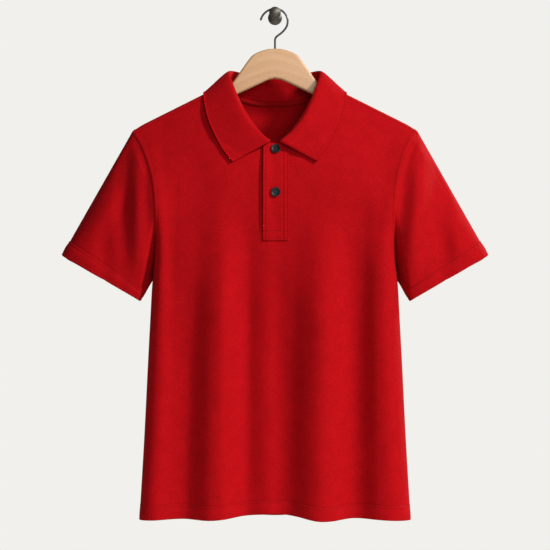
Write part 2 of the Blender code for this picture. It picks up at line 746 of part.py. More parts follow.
# ---------------------------------------------------------------- hard pieces


def turned(name, profile, steps, finish, parent):
    """A piece turned about its own Z, from (radius, height) points that run down its outer side."""
    mesh = bpy.data.meshes.new(name)
    edges = [(k, k + 1) for k in range(len(profile) - 1)]
    mesh.from_pydata([(radius, 0, height) for radius, height in profile], edges, [])
    obj = new_object(name, mesh, finish, parent)
    screw = obj.modifiers.new("turned", "SCREW")
    screw.steps = screw.render_steps = steps
    screw.use_merge_vertices = True
    screw.merge_threshold = 0.00005
    return obj


def cylinder_cutter(name, radius, depth, location, parent):
    mesh = bpy.data.meshes.new(name)
    shape = bmesh.new()
    bmesh.ops.create_cone(
        shape, cap_ends=True, segments=8, radius1=radius, radius2=radius, depth=depth
    )
    shape.to_mesh(mesh)
    shape.free()
    obj = bpy.data.objects.new(name, mesh)
    CUTTERS.objects.link(obj)
    obj.parent = parent
    obj.location = location
    obj.hide_render = True
    obj.display_type = "WIRE"
    return obj


def cut(obj, cutter):
    boolean = obj.modifiers.new(cutter.name, "BOOLEAN")
    boolean.operation = "DIFFERENCE"
    boolean.object = cutter


def make_button(name, height):
    """A four-hole button that faces the front, on the buttonhole band."""
    band_face = front_point(BUTTON_X, height, LAYER_GAP + BAND_CLOTH + LAYER_GAP)
    below = front_point(BUTTON_X, height - BUTTON_RADIUS, 0.0)
    above = front_point(BUTTON_X, height + BUTTON_RADIUS, 0.0)
    lean = math.atan2(above.y - below.y, above.z - below.z)
    button = turned(name, BUTTON_PROFILE, 20, BUTTON_RESIN, HUNG)
    button.location = band_face
    button.rotation_euler = (math.pi / 2 - lean, 0, 0)
    for k in range(4):
        angle = math.pi / 4 + k * math.pi / 2
        x = BUTTON_HOLE_FROM_CENTRE * math.cos(angle)
        y = BUTTON_HOLE_FROM_CENTRE * math.sin(angle)
        hole = cylinder_cutter(f"{name}_hole_{k}", BUTTON_HOLE_RADIUS, 0.01, (x, y, 0), button)
        cut(button, hole)


def hanger_outline():
    """The hanger's edge as (x, z) points, anticlockwise from the tip of the +X arm."""
    top = list(HANGER_TOP)
    arm_count = 7
    for k in range(1, arm_count + 1):
        x = NECK_HALF_WIDTH + (HANGER_HALF_LENGTH - NECK_HALF_WIDTH) * k / arm_count
        top.append(Place(x, shoulder_z(x) - CLOTH - HANGER_UNDER_CLOTH))
    bottom = []
    for k in range(arm_count + 1):
        x = HANGER_HALF_LENGTH * k / arm_count
        bottom.append(Place(x, HANGER_APEX_Z - HANGER_ARM_SLOPE * x - (0 if k else HANGER_APEX_FILL)))
    nose = Place(HANGER_HALF_LENGTH + 0.005, (top[-1].z + bottom[-1].z) / 2)
    right = [*reversed(top[1:]), top[0]]
    left = [Place(-p.x, p.z) for p in top[1:]]
    under_left = [Place(-p.x, p.z) for p in reversed(bottom[1:])]
    nose_left = Place(-nose.x, nose.z)
    return [nose, *right, *left, nose_left, *under_left, *bottom]


def poly_curve(name, points, closed):
    curve = bpy.data.curves.new(name, "CURVE")
    spline_line = curve.splines.new("POLY")
    spline_line.points.add(len(points) - 1)
    for made, point in zip(spline_line.points, points):
        made.co = (*point, 1)
    spline_line.use_cyclic_u = closed
    return curve


def make_hanger_body():
    """A flat board with rounded edges, drilled for the hook."""
    curve = poly_curve("hanger_outline", [(p.x, p.z, 0) for p in hanger_outline()], True)
    curve.dimensions = "2D"
    curve.fill_mode = "BOTH"
    curve.extrude = HANGER_THICKNESS / 2 - HANGER_EDGE
    curve.bevel_depth = HANGER_EDGE
    curve.bevel_resolution = 1
    curve.offset = -HANGER_EDGE
    outline = bpy.data.objects.new("hanger_outline", curve)
    SHIRT.objects.link(outline)
    graph = bpy.context.evaluated_depsgraph_get()
    mesh = bpy.data.meshes.new_from_object(outline.evaluated_get(graph))
    bpy.data.objects.remove(outline)
    shape = bmesh.new()
    shape.from_mesh(mesh)
    bmesh.ops.remove_doubles(shape, verts=shape.verts, dist=0.00001)
    shape.to_mesh(mesh)
    shape.free()
    board = new_object("hanger_body", mesh, BEECH, HUNG)
    board.rotation_euler = (math.pi / 2, 0, 0)
    hole = cylinder_cutter(
        "hook_socket",
        WIRE_RADIUS + WIRE_CLEARANCE,
        2 * WIRE_SOCKET_DEPTH,
        (0, 0, HANGER_TOP[0].z),
        HUNG,
    )
    cut(board, hole)


def hook_points():
    """The hook's centreline: up from the hanger, out to one side and over the peg."""
    arc_z = NECK_BELOW_PEG + PEG_NECK_RADIUS + PEG_CLEARANCE + WIRE_RADIUS - HOOK_RADIUS
    foot = HANGER_TOP[0].z - WIRE_SOCKET_DEPTH + 0.001
    stem_top = Vector((0, 0, HANGER_TOP[0].z + 0.013))
    arc_start = math.radians(-38)
    arc_end = math.radians(172)

    def on_arc(angle):
        open_out = 1 + 0.14 * max(angle - math.pi / 2, 0) / (math.pi / 2)
        x = HOOK_RADIUS * open_out * math.cos(angle)
        return Vector((x, 0, arc_z + HOOK_RADIUS * math.sin(angle)))

    points = [Vector((0, 0, foot)), Vector((0, 0, HANGER_TOP[0].z)), stem_top]
    start = on_arc(arc_start)
    heading = Vector((-math.sin(arc_start), 0, math.cos(arc_start)))
    bend_count, arc_count = 7, 18
    for k in range(1, bend_count):
        leaves, arrives = stem_top + Vector((0, 0, 0.008)), start - heading * 0.014
        points.append(bezier(stem_top, leaves, arrives, start, k / bend_count))
    for k in range(arc_count + 1):
        points.append(on_arc(arc_start + (arc_end - arc_start) * k / arc_count))
    return points


def make_hanger_hook():
    curve = poly_curve("hanger_hook", [tuple(p) for p in hook_points()], False)
    curve.dimensions = "3D"
    curve.bevel_depth = WIRE_RADIUS
    curve.bevel_resolution = 2
    curve.use_fill_caps = True
    new_object("hanger_hook", curve, DARK_STEEL, HUNG)


def make_wall_peg():
    """The peg stands out of the wall along -Y, with its turned axis through the origin."""
    profile = [(ring.radius, ring.out) for ring in PEG_PROFILE]
    peg = turned("wall_peg", profile, 20, PEWTER, None)
    peg.rotation_euler = (math.pi / 2, 0, 0)


# ---------------------------------------------------------------- the whole
def collection(name):
    made = bpy.data.collections.new(name)
    bpy.context.scene.collection.children.link(made)
    return made


for old in list(bpy.data.objects):
    bpy.data.objects.remove(old)
SHIRT = collection("polo_shirt_on_hanger")
CUTTERS = collection("cutters")
HUNG = bpy.data.objects.new("hung", None)
SHIRT.objects.link(HUNG)
HUNG.location = (0, -HOOK_FROM_WALL, -NECK_BELOW_PEG)
bpy.context.view_layer.update()

make_body()
make_sleeve("sleeve_left", 1)
make_sleeve("sleeve_right", -1)
make_collar()
make_placket_under()
make_placket_top()
make_neck_tape()
for button_name, button_height in BUTTON_HEIGHTS.items():
    make_button(button_name, button_height)
make_hanger_body()
make_hanger_hook()
make_wall_peg()
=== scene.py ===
"""A red pique polo shirt on a beech hanger, hung by its wire hook from a turned wall peg.

Metres, +Z up. The shirt faces -Y and the wall is the plane Y = 0. All that hangs is drawn in the
shirt's own frame, where X = 0 is the centre front, Y = 0 the hanger's plane and Z = 0 the height
of the neck, and HUNG_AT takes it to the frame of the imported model. Left and right are the
wearer's, so the left sleeve is at +X.
"""

import logging
import math
from dataclasses import dataclass
from enum import Enum
from typing import Any, Mapping, Sequence

import bmesh
import bpy
import numpy as np
from mathutils import Matrix, Vector


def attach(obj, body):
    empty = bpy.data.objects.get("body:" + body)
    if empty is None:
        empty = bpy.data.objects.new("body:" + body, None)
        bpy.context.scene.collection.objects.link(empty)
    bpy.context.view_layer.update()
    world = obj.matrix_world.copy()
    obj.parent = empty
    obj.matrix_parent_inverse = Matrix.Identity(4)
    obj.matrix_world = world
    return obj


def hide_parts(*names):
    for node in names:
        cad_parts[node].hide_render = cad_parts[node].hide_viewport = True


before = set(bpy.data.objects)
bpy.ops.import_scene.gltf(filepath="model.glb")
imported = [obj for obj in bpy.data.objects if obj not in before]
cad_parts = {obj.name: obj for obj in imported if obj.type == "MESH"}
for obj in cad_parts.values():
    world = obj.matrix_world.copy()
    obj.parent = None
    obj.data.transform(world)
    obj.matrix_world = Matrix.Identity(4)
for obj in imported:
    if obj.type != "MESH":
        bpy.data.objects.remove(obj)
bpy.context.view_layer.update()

Array = np.ndarray
LOG = logging.getLogger("polo_shirt")

# ---------------------------------------------------------------- driving dimensions
HOOK_FROM_WALL = 0.055
NECK_BELOW_PEG = 0.110
HUNG_AT = np.array((0.0, -HOOK_FROM_WALL, -NECK_BELOW_PEG))

NECK_HALF_WIDTH = 0.078
SHOULDER_HALF_WIDTH = 0.226
SHOULDER_SLOPE = 0.50
SHOULDER_ROUNDING = 0.008
SHOULDER_TIP_FROM = 0.205
SHOULDER_TIP_DROP = 0.0035
ARMPIT_Z = -0.246
SIDE_HEM_Z = -0.687

CLOTH = 0.0016
HEM_CLOTH = 0.0024
HEM_STEP = 0.0011
HEM_ROLL = 0.0006
HEM_DENT_HALF = 0.0011
STITCH_SINK = 0.0006
CUFF_DRAWN_IN = 0.0004
BODY_HEM = 0.021
SLEEVE_HEM = 0.025
COLLAR_CLOTH = 0.0020
BAND_CLOTH = 0.0018
TAPE_CLOTH = 0.0005
SEAM_GAP = 0.00002
NECK_SEAM_GAP = 0.0012
LAYER_GAP = 0.0005

RIDGE_RADIUS = 0.0100
FRONT_RISE = 0.170
BACK_RISE = 0.050
SECTION_POWER = 4.4
FULLNESS = 0.90

BAND_LEFT_X = 0.0210
BAND_RIGHT_X = -0.0185
BAND_BOTTOM_Z = -0.249
SLIT_BOTTOM_Z = -0.243
SLIT_HALF_SHARE = 0.05
UNDER_BAND_CLEARANCE = 0.002

BUTTON_RADIUS = 0.0075
BUTTON_X = 0.0010
BUTTON_HEIGHTS = {"button_upper": -0.108, "button_lower": -0.1745}

TAPE_DEPTH = 0.007
TAPE_ABOVE_SEAM = 0.0038
TAPE_HALF_WIDTH = 0.056

NECK_SHARE = 0.36
ARMHOLE_SHARE = 0.30
HIGH_POINT_SHARE = 0.40
COLLAR_END_SHARE = 0.965
STAND_BULGE = 0.45
FALL_STRAIGHT = 0.45
SLEEVE_SWELL = 0.003
UNDERARM_TUCK = 0.0035
BACK_CUFF_DROP = 0.0028


@dataclass(frozen=True)
class Section:
    """The body's half width and the depth of its front and back at one height."""

    z: float
    half_width: float
    front: float
    back: float


SECTIONS = (
    Section(0.020, 0.2750, 0.058, 0.043),
    Section(-0.078, 0.2600, 0.062, 0.045),
    Section(-0.126, 0.2400, 0.065, 0.046),
    Section(-0.190, 0.2090, 0.067, 0.047),
    Section(ARMPIT_Z, 0.1900, 0.066, 0.047),
    Section(-0.334, 0.1940, 0.062, 0.045),
    Section(-0.435, 0.1995, 0.055, 0.042),
    Section(-0.562, 0.2060, 0.049, 0.039),
    Section(SIDE_HEM_Z, 0.2135, 0.045, 0.037),
)

# Outlines as (x, z) places on the wearer's left, from the middle outwards or downwards.
FRONT_NECKLINE = (
    (0.000, -0.0985),
    (0.012, -0.0965),
    (0.030, -0.0860),
    (0.0525, -0.0610),
    (0.0685, -0.0350),
    (0.0765, -0.0140),
)
BACK_NECKLINE = ((0.000, -0.0300), (0.030, -0.0285), (0.058, -0.0205), (0.073, -0.0105))
FRONT_ARMHOLE = (
    (0.212, -0.1000),
    (0.2005, -0.1270),
    (0.1915, -0.1570),
    (0.1875, -0.1900),
    (0.1868, -0.2230),
)
BACK_ARMHOLE = (
    (0.216, -0.1000),
    (0.208, -0.1270),
    (0.201, -0.1570),
    (0.195, -0.1900),
    (0.1905, -0.2230),
)
FRONT_HEM = (
    (-0.2135, SIDE_HEM_Z),
    (-0.150, -0.6845),
    (-0.100, -0.6850),
    (-0.050, -0.6800),
    (0.000, -0.6770),
    (0.035, -0.6800),
    (0.072, -0.6860),
    (0.130, -0.6835),
    (0.2135, SIDE_HEM_Z),
)
BACK_HEM = (
    (-0.2135, SIDE_HEM_Z),
    (-0.120, -0.6850),
    (0.000, -0.6845),
    (0.110, -0.6840),
    (0.2135, SIDE_HEM_Z),
)
NECK_FRONT_Z = FRONT_NECKLINE[0][1]
MIDDLE_HEM_Z = FRONT_HEM[4][1]
BODY_LENGTH = NECK_FRONT_Z - SIDE_HEM_Z
BODY_HEM_SHARE = 1 - BODY_HEM / BODY_LENGTH
SLIT_SHARE = (SLIT_BOTTOM_Z - NECK_FRONT_Z) / (MIDDLE_HEM_Z - NECK_FRONT_Z)


@dataclass(frozen=True)
class Fold:
    """A fold that runs down to the hem: a crest where the height is above 0, else a trough."""

    top_x: float
    hem_x: float
    top_z: float
    full_z: float
    top_half: float
    hem_half: float
    height: float
    ends_z: float | None = None

    def height_at(self, x: Array, z: Array) -> Array:
        """The fold's height at places of the wall.

        Args:
            x: Places across.
            z: Heights.

        Returns:
            How far the wall stands out there.
        """
        down = (self.top_z - z) / (self.top_z - SIDE_HEM_Z)
        centre = self.top_x + (self.hem_x - self.top_x) * down
        half = self.top_half + (self.hem_half - self.top_half) * down
        across = np.clip(np.abs(x - centre) / np.maximum(half, 0.001), 0, 1)
        share = smooth((self.top_z - z) / (self.top_z - self.full_z))
        if self.ends_z is not None:
            share = share * (1 - smooth((self.full_z - z) / (self.full_z - self.ends_z)))
        return self.height * share * np.cos(across * math.pi / 2) ** 2 * (down > 0)


@dataclass(frozen=True)
class Crease:
    """A finer ridge (height above 0) or trough between two places, fading at both ends.

    bow bends it sideways in the middle.
    """

    x0: float
    z0: float
    x1: float
    z1: float
    half: float
    height: float
    bow: float = 0.0

    def height_at(self, x: Array, z: Array) -> Array:
        """The crease's height at places of the wall.

        Args:
            x: Places across.
            z: Heights.

        Returns:
            How far the wall stands out there.
        """
        run_x, run_z = self.x1 - self.x0, self.z1 - self.z0
        length = math.hypot(run_x, run_z)
        down = np.clip(((x - self.x0) * run_x + (z - self.z0) * run_z) / length**2, 0, 1)
        off = ((x - self.x0) * run_z - (z - self.z0) * run_x) / length
        off = off - self.bow * np.sin(math.pi * down)
        across = np.clip(np.abs(off) / self.half, 0, 1)
        return self.height * np.cos(across * math.pi / 2) ** 2 * np.sin(math.pi * down) ** 1.3


FRONT_FOLDS = (
    Fold(-0.177, -0.198, -0.110, -0.260, 0.028, 0.034, 0.009),
    Fold(-0.134, -0.144, -0.200, -0.520, 0.036, 0.044, -0.010),
    Fold(-0.076, -0.093, -0.130, -0.380, 0.044, 0.050, 0.012),
    Fold(-0.046, -0.042, -0.160, -0.400, 0.040, 0.042, -0.015),
    Fold(0.002, 0.010, -0.160, -0.460, 0.040, 0.044, -0.011),
    Fold(0.072, 0.070, -0.140, -0.420, 0.042, 0.048, 0.016),
    Fold(0.123, 0.124, -0.150, -0.400, 0.034, 0.038, -0.013),
    Fold(0.170, 0.186, -0.110, -0.340, 0.036, 0.050, 0.015),
    Fold(-0.120, -0.150, -0.090, -0.190, 0.050, 0.030, -0.003, ends_z=-0.300),
)
BACK_FOLDS = (
    Fold(0.164, 0.180, -0.150, -0.420, 0.030, 0.034, 0.008),
    Fold(0.100, 0.120, -0.180, -0.470, 0.044, 0.048, -0.014),
    Fold(0.054, 0.062, -0.150, -0.440, 0.040, 0.046, 0.009),
    Fold(0.008, 0.000, -0.200, -0.500, 0.040, 0.050, -0.016),
    Fold(-0.052, -0.062, -0.140, -0.400, 0.040, 0.048, 0.011),
    Fold(-0.108, -0.124, -0.170, -0.460, 0.046, 0.048, -0.014),
    Fold(-0.168, -0.184, -0.130, -0.380, 0.030, 0.032, 0.010),
)
FRONT_CREASES: tuple[Crease, ...] = (
    Crease(-0.200, -0.070, -0.181, -0.340, 0.026, 0.0060),
    Crease(-0.184, -0.120, -0.187, -0.440, 0.024, 0.0045),
    Crease(0.220, -0.030, 0.188, -0.345, 0.044, 0.0120),
)
BACK_CREASES: tuple[Crease, ...] = (
    Crease(-0.186, -0.100, -0.142, -0.330, 0.022, -0.0040, bow=0.010),
    Crease(0.182, -0.120, 0.150, -0.340, 0.020, -0.0040, bow=-0.010),
    Crease(0.160, -0.060, 0.070, -0.210, 0.030, 0.0036, bow=-0.008),
    Crease(-0.150, -0.050, -0.078, -0.230, 0.034, 0.0040, bow=0.010),
    Crease(0.014, -0.050, -0.006, -0.260, 0.044, -0.0040, bow=0.004),
)

# The cuff from its outer corner round the front to the underarm seam. The back mirrors it.
CUFF = (
    # share, x, depth, z
    (0.00, 0.3365, 0.0000, -0.2710),
    (0.05, 0.3320, 0.0140, -0.2745),
    (0.14, 0.3190, 0.0240, -0.2815),
    (0.30, 0.2905, 0.0320, -0.2980),
    (0.48, 0.2570, 0.0350, -0.3170),
    (0.62, 0.2320, 0.0345, -0.3315),
    (0.69, 0.2205, 0.0320, -0.3382),
    (0.73, 0.2140, 0.0300, -0.3418),
    (0.76, 0.2112, 0.0272, -0.3376),
    (0.79, 0.2080, 0.0240, -0.3336),
    (0.89, 0.1985, 0.0120, -0.3180),
    (1.00, 0.1900, 0.0000, -0.3060),
)
CUFF_MIDDLE = (0.268, -0.312)
# The sleeves' creases, by side of the wearer (-1 right) and of the sleeve (-1 front).
SLEEVE_CREASES = {
    (-1, -1): (
        Crease(-0.214, -0.060, -0.210, -0.320, 0.020, 0.0056, bow=0.003),
        Crease(-0.240, -0.085, -0.238, -0.350, 0.022, -0.0030, bow=-0.003),
        Crease(-0.234, -0.118, -0.314, -0.292, 0.032, 0.0065, bow=-0.004),
        Crease(-0.268, -0.210, -0.262, -0.360, 0.022, -0.0025),
    ),
    (1, -1): (
        Crease(0.2365, -0.050, 0.205, -0.345, 0.028, 0.0150),
        Crease(0.262, -0.100, 0.262, -0.350, 0.026, -0.0060),
        Crease(0.242, -0.140, 0.308, -0.292, 0.028, 0.0040, bow=0.004),
    ),
    (-1, 1): (
        Crease(-0.222, -0.080, -0.224, -0.320, 0.024, 0.0060, bow=0.005),
        Crease(-0.258, -0.110, -0.252, -0.330, 0.028, -0.0050),
    ),
    (1, 1): (
        Crease(0.224, -0.080, 0.226, -0.320, 0.024, 0.0060, bow=-0.005),
        Crease(0.262, -0.120, 0.250, -0.330, 0.028, -0.0050),
    ),
}

# The collar from the centre back (share 0) to the centre front (share 1).
COLLAR = (
    # share, fold x y z, edge x y z, lift, roll
    (0.00, 0.0000, 0.0400, 0.0140, 0.0000, 0.0460, -0.0440, 0.0006, 0.0050),
    (0.14, 0.0300, 0.0370, 0.0150, 0.0440, 0.0440, -0.0425, 0.0008, 0.0050),
    (0.28, 0.0550, 0.0270, 0.0195, 0.0830, 0.0350, -0.0360, 0.0010, 0.0055),
    (0.40, 0.0690, 0.0130, 0.0210, 0.1060, 0.0180, -0.0205, 0.0008, 0.0060),
    (0.50, 0.0735, 0.0000, 0.0175, 0.1130, -0.0030, -0.0150, 0.0006, 0.0060),
    (0.60, 0.0710, -0.0140, 0.0060, 0.1110, -0.0225, -0.0350, 0.0012, 0.0060),
    (0.71, 0.0650, -0.0270, -0.0130, 0.1040, -0.0365, -0.0620, 0.0020, 0.0060),
    (0.81, 0.0565, -0.0390, -0.0350, 0.0930, -0.0465, -0.0870, 0.0020, 0.0055),
    (0.90, 0.0440, -0.0490, -0.0580, 0.0810, -0.0520, -0.1085, 0.0022, 0.0050),
    (0.95, 0.0270, -0.0540, -0.0790, 0.0735, -0.0550, -0.1185, 0.0024, 0.0045),
    (1.00, 0.0075, -0.0590, -0.0960, 0.0660, -0.0565, -0.1275, 0.0027, 0.0040),
)

# ---------------------------------------------------------------- curves and shares


def smooth(share: Array) -> Array:
    """0 to 1 with level ends."""
    share = np.clip(share, 0, 1)
    return share * share * (3 - 2 * share)


def curve_through(keys: Sequence[float], values: Sequence[float], at: Array) -> Array:
    """A smooth curve through values at rising keys.

    Args:
        keys: Where the values stand, rising.
        values: The values there.
        at: Where to read the curve.

    Returns:
        The curve's values.
    """
    key, value = np.asarray(keys, float), np.asarray(values, float)
    at = np.clip(at, key[0], key[-1])
    after = np.clip(np.searchsorted(key, at), 1, len(key) - 1)
    low = np.maximum(np.arange(len(key)) - 1, 0)
    high = np.minimum(np.arange(len(key)) + 1, len(key) - 1)
    slope = (value[high] - value[low]) / (key[high] - key[low])
    width = key[after] - key[after - 1]
    t = (at - key[after - 1]) / width
    return (
        value[after - 1] * (2 * t**3 - 3 * t**2 + 1)
        + slope[after - 1] * width * (t**3 - 2 * t**2 + t)
        + value[after] * (3 * t**2 - 2 * t**3)
        + slope[after] * width * (t**3 - t**2)
    )


def column(rows: Sequence[Sequence[float]], number: int, at: Array) -> Array:
    """One column of a table, read smoothly at places in its first column."""
    return curve_through([row[0] for row in rows], [row[number] for row in rows], at)


def along(places: Sequence[tuple[float, float]], share: Array) -> tuple[Array, Array]:
    """The points a share of the way along a curve through (x, z) places.

    Args:
        places: The places, in order.
        share: 0 at the first place and 1 at the last.

    Returns:
        The points' x and z.
    """
    line = np.asarray(places, float)
    lengths = np.concatenate(([0], np.cumsum(np.hypot(*np.diff(line, axis=0).T))))
    at = np.asarray(share) * lengths[-1]
    return curve_through(lengths, line[:, 0], at), curve_through(lengths, line[:, 1], at)


def blend_rows(places: Sequence[Section], name: str, z: Array) -> Array:
    """A named column of the body's sections at heights z."""
    ordered = sorted(places, key=lambda row: row.z)
    return curve_through([row.z for row in ordered], [getattr(row, name) for row in ordered], z)


def shoulder_z(x: Array) -> Array:
    """Height of the shoulder line, which falls away from the neck and rounds off at the tip.

    Args:
        x: Places across.

    Returns:
        The heights.
    """
    out = (np.abs(x) - NECK_HALF_WIDTH) / SHOULDER_ROUNDING
    fall = SHOULDER_SLOPE * SHOULDER_ROUNDING * np.log1p(np.exp(np.minimum(out, 60)))
    tip = np.maximum(np.abs(x) - SHOULDER_TIP_FROM, 0) / (SHOULDER_HALF_WIDTH - SHOULDER_TIP_FROM)
    return -fall - SHOULDER_TIP_DROP * tip * tip


def half_width(z: Array) -> Array:
    """Half the body's width at heights z."""
    return blend_rows(SECTIONS, "half_width", z)


def section_share(x: Array, z: Array) -> Array:
    """How much of its full depth the body has at x: 1 in the middle and 0 at the side seam."""
    out = np.minimum(np.abs(x) / half_width(z), 1)
    return (1 - out**SECTION_POWER) ** (1 / SECTION_POWER)


def ripple(x: Array, z: Array) -> Array:
    """The slight unevenness of cloth that has been worn and washed, under a millimetre.

    Args:
        x: Places across.
        z: Heights.

    Returns:
        How far the cloth stands out.
    """
    waves = (
        # height, cycles a metre across, cycles a metre down, phase
        (0.00030, 6.1, 3.7, 0.4),
        (0.00026, -9.3, 5.2, 1.9),
        (0.00018, 13.7, 8.9, 4.1),
        (0.00012, -18.1, 15.3, 2.6),
    )
    turn = 2 * math.pi
    return sum(h * np.sin(turn * (a * x + b * z) + phase) for h, a, b, phase in waves)


# ---------------------------------------------------------------- the two walls of the body
@dataclass(frozen=True)
class Wall:
    """The front or the back of the body: its cut and how far it lies from the hanger's plane.

    In the cut, across runs from the centre line (0) to the armhole and side seam (1), and down
    from the neckline and shoulder (0) to the hem (1).
    """

    toward: int
    depth_name: str
    rise: float
    neckline: tuple[tuple[float, float], ...]
    armhole: tuple[tuple[float, float], ...]
    hem: tuple[tuple[float, float], ...]
    folds: tuple[Fold, ...]
    creases: tuple[Crease, ...]

    def neck(self) -> tuple[tuple[float, float], ...]:
        """The neckline with the shoulder's high point."""
        return (*self.neckline, (NECK_HALF_WIDTH, float(shoulder_z(NECK_HALF_WIDTH))))

    def depth(self, x: Array, z: Array) -> Array:
        """How far the wall's outer face lies from the hanger's plane.

        Args:
            x: Places across.
            z: Heights.

        Returns:
            The depths.
        """
        under = np.maximum(shoulder_z(x) - z, 0)
        over_hanger = RIDGE_RADIUS * np.sqrt(1 - (1 - np.minimum(under / RIDGE_RADIUS, 1)) ** 2)
        full = FULLNESS * blend_rows(SECTIONS, self.depth_name, z)
        swell = (full - RIDGE_RADIUS) * np.sin(np.minimum(under / self.rise, 1) * math.pi / 2)
        relief = sum(fold.height_at(x, z) for fold in self.folds)
        fine = sum(crease.height_at(x, z) for crease in self.creases) + ripple(x, z)
        fine = fine * np.minimum(under / 0.02, 1)
        return section_share(x, z) * (over_hanger + swell + relief + fine)

    def point(self, x: Array, z: Array, out: Array | float = 0.0) -> Array:
        """Points of the outer face, moved out along the face.

        Args:
            x: Places across.
            z: Heights.
            out: How far to move out.

        Returns:
            An array of points.
        """
        x, z = np.broadcast_arrays(np.asarray(x, float), np.asarray(z, float))
        face = np.stack((x, self.toward * (self.depth(x, z) + SEAM_GAP / 2), z), axis=-1)
        if np.all(np.asarray(out) == 0):
            return face
        step = 0.0005
        slope_x = (self.depth(x + step, z) - self.depth(x - step, z)) / (2 * step)
        slope_z = (self.depth(x, z + step) - self.depth(x, z - step)) / (2 * step)
        normal = np.stack((-slope_x, np.full(x.shape, float(self.toward)), -slope_z), axis=-1)
        normal /= np.linalg.norm(normal, axis=-1, keepdims=True)
        return face + normal * np.broadcast_to(np.asarray(out, float), x.shape)[..., None]

    def top(self, across: Array) -> tuple[Array, Array]:
        """The neckline and shoulder.

        Args:
            across: Shares across.

        Returns:
            The x and z of its points.
        """
        neck_x, neck_z = along(self.neck(), np.minimum(across / NECK_SHARE, 1))
        out = (across - NECK_SHARE) / (1 - NECK_SHARE)
        x = NECK_HALF_WIDTH + (SHOULDER_HALF_WIDTH - NECK_HALF_WIDTH) * out
        on_neck = across <= NECK_SHARE
        return np.where(on_neck, neck_x, x), np.where(on_neck, neck_z, shoulder_z(x))

    def bottom(self, across: Array, sign: Array) -> tuple[Array, Array]:
        """The hem."""
        x = half_width(np.array(SIDE_HEM_Z)) * np.sin(across * math.pi / 2)
        return x, column(self.hem, 1, sign * x)

    def side(self, down: Array) -> tuple[Array, Array]:
        """The armhole and side seam.

        Args:
            down: Shares down.

        Returns:
            The x and z of its points.
        """
        tip = (SHOULDER_HALF_WIDTH, float(shoulder_z(SHOULDER_HALF_WIDTH)))
        armpit = (float(half_width(ARMPIT_Z)), ARMPIT_Z)
        hole_x, hole_z = along((tip, *self.armhole, armpit), np.minimum(down / ARMHOLE_SHARE, 1))
        z = ARMPIT_Z + (SIDE_HEM_Z - ARMPIT_Z) * (down - ARMHOLE_SHARE) / (1 - ARMHOLE_SHARE)
        in_hole = down <= ARMHOLE_SHARE
        return np.where(in_hole, hole_x, half_width(z)), np.where(in_hole, hole_z, z)

    def place(self, across: Array, down: Array) -> tuple[Array, Array]:
        """Places of the whole panel, by a patch between its four edges.

        Args:
            across: Shares across, below 0 on the wearer's right.
            down: Shares down.

        Returns:
            The places' x, signed, and z.
        """
        across, down = np.broadcast_arrays(np.asarray(across, float), np.asarray(down, float))
        sign = np.where(across < 0, -1.0, 1.0)
        share = np.abs(across)
        high = (1 - down) ** 2
        top_x, top_z = self.top(share)
        low_x, low_z = self.bottom(share, sign)
        side_x, side_z = self.side(down)
        zero, one = np.zeros_like(share), np.ones_like(share)
        top_end_x, top_end_z = self.top(one)
        low_end_x, low_end_z = self.bottom(one, sign)
        top_mid_z = self.top(zero)[1]
        low_mid_z = self.bottom(zero, sign)[1]
        middle_z = top_mid_z + (low_mid_z - top_mid_z) * down
        corner_x = share * (high * top_end_x + (1 - high) * low_end_x)
        corner_z = (1 - share) * (high * top_mid_z + (1 - high) * low_mid_z)
        corner_z += share * (high * top_end_z + (1 - high) * low_end_z)
        x = high * top_x + (1 - high) * low_x + share * side_x - corner_x
        z = high * top_z + (1 - high) * low_z - corner_z
        z = z + (1 - share) * middle_z + share * side_z
        within = half_width(z) * np.sin(share * math.pi / 2)
        return sign * np.where((z < ARMPIT_Z) & (share < 1), np.minimum(x, within), x), z

    def armhole_point(self, share: Array, sign: int) -> Array:
        """Points of the armhole, from the shoulder tip (0) to the armpit (1)."""
        return self.point(*self.place(np.full_like(share, float(sign)), share * ARMHOLE_SHARE))


FRONT = Wall(-1, "front", FRONT_RISE, FRONT_NECKLINE, FRONT_ARMHOLE, FRONT_HEM, FRONT_FOLDS,
             FRONT_CREASES)
BACK = Wall(1, "back", BACK_RISE, BACK_NECKLINE, BACK_ARMHOLE, BACK_HEM, BACK_FOLDS, BACK_CREASES)


def clear_depth(x: Array, z: Array, clearance: Array, toward: Array) -> Array:
    """How far from the hanger's plane a thing must lie to clear the body's outside.

    Args:
        x: Places across.
        z: Heights.
        clearance: The room to leave.
        toward: -1 in front of the hanger and 1 behind it.

    Returns:
        The least depths.
    """
    raised = shoulder_z(x) + 1.12 * clearance - z
    turn = RIDGE_RADIUS + clearance
    over = turn * np.sqrt(1 - (1 - np.clip(raised / turn, 0, 1)) ** 2)
    depth = np.where(toward < 0, FRONT.depth(x, z), BACK.depth(x, z)) + clearance
    over = np.where(z > shoulder_z(x), over, np.maximum(over, depth))
    return np.where(raised <= 0, 0.0, over)


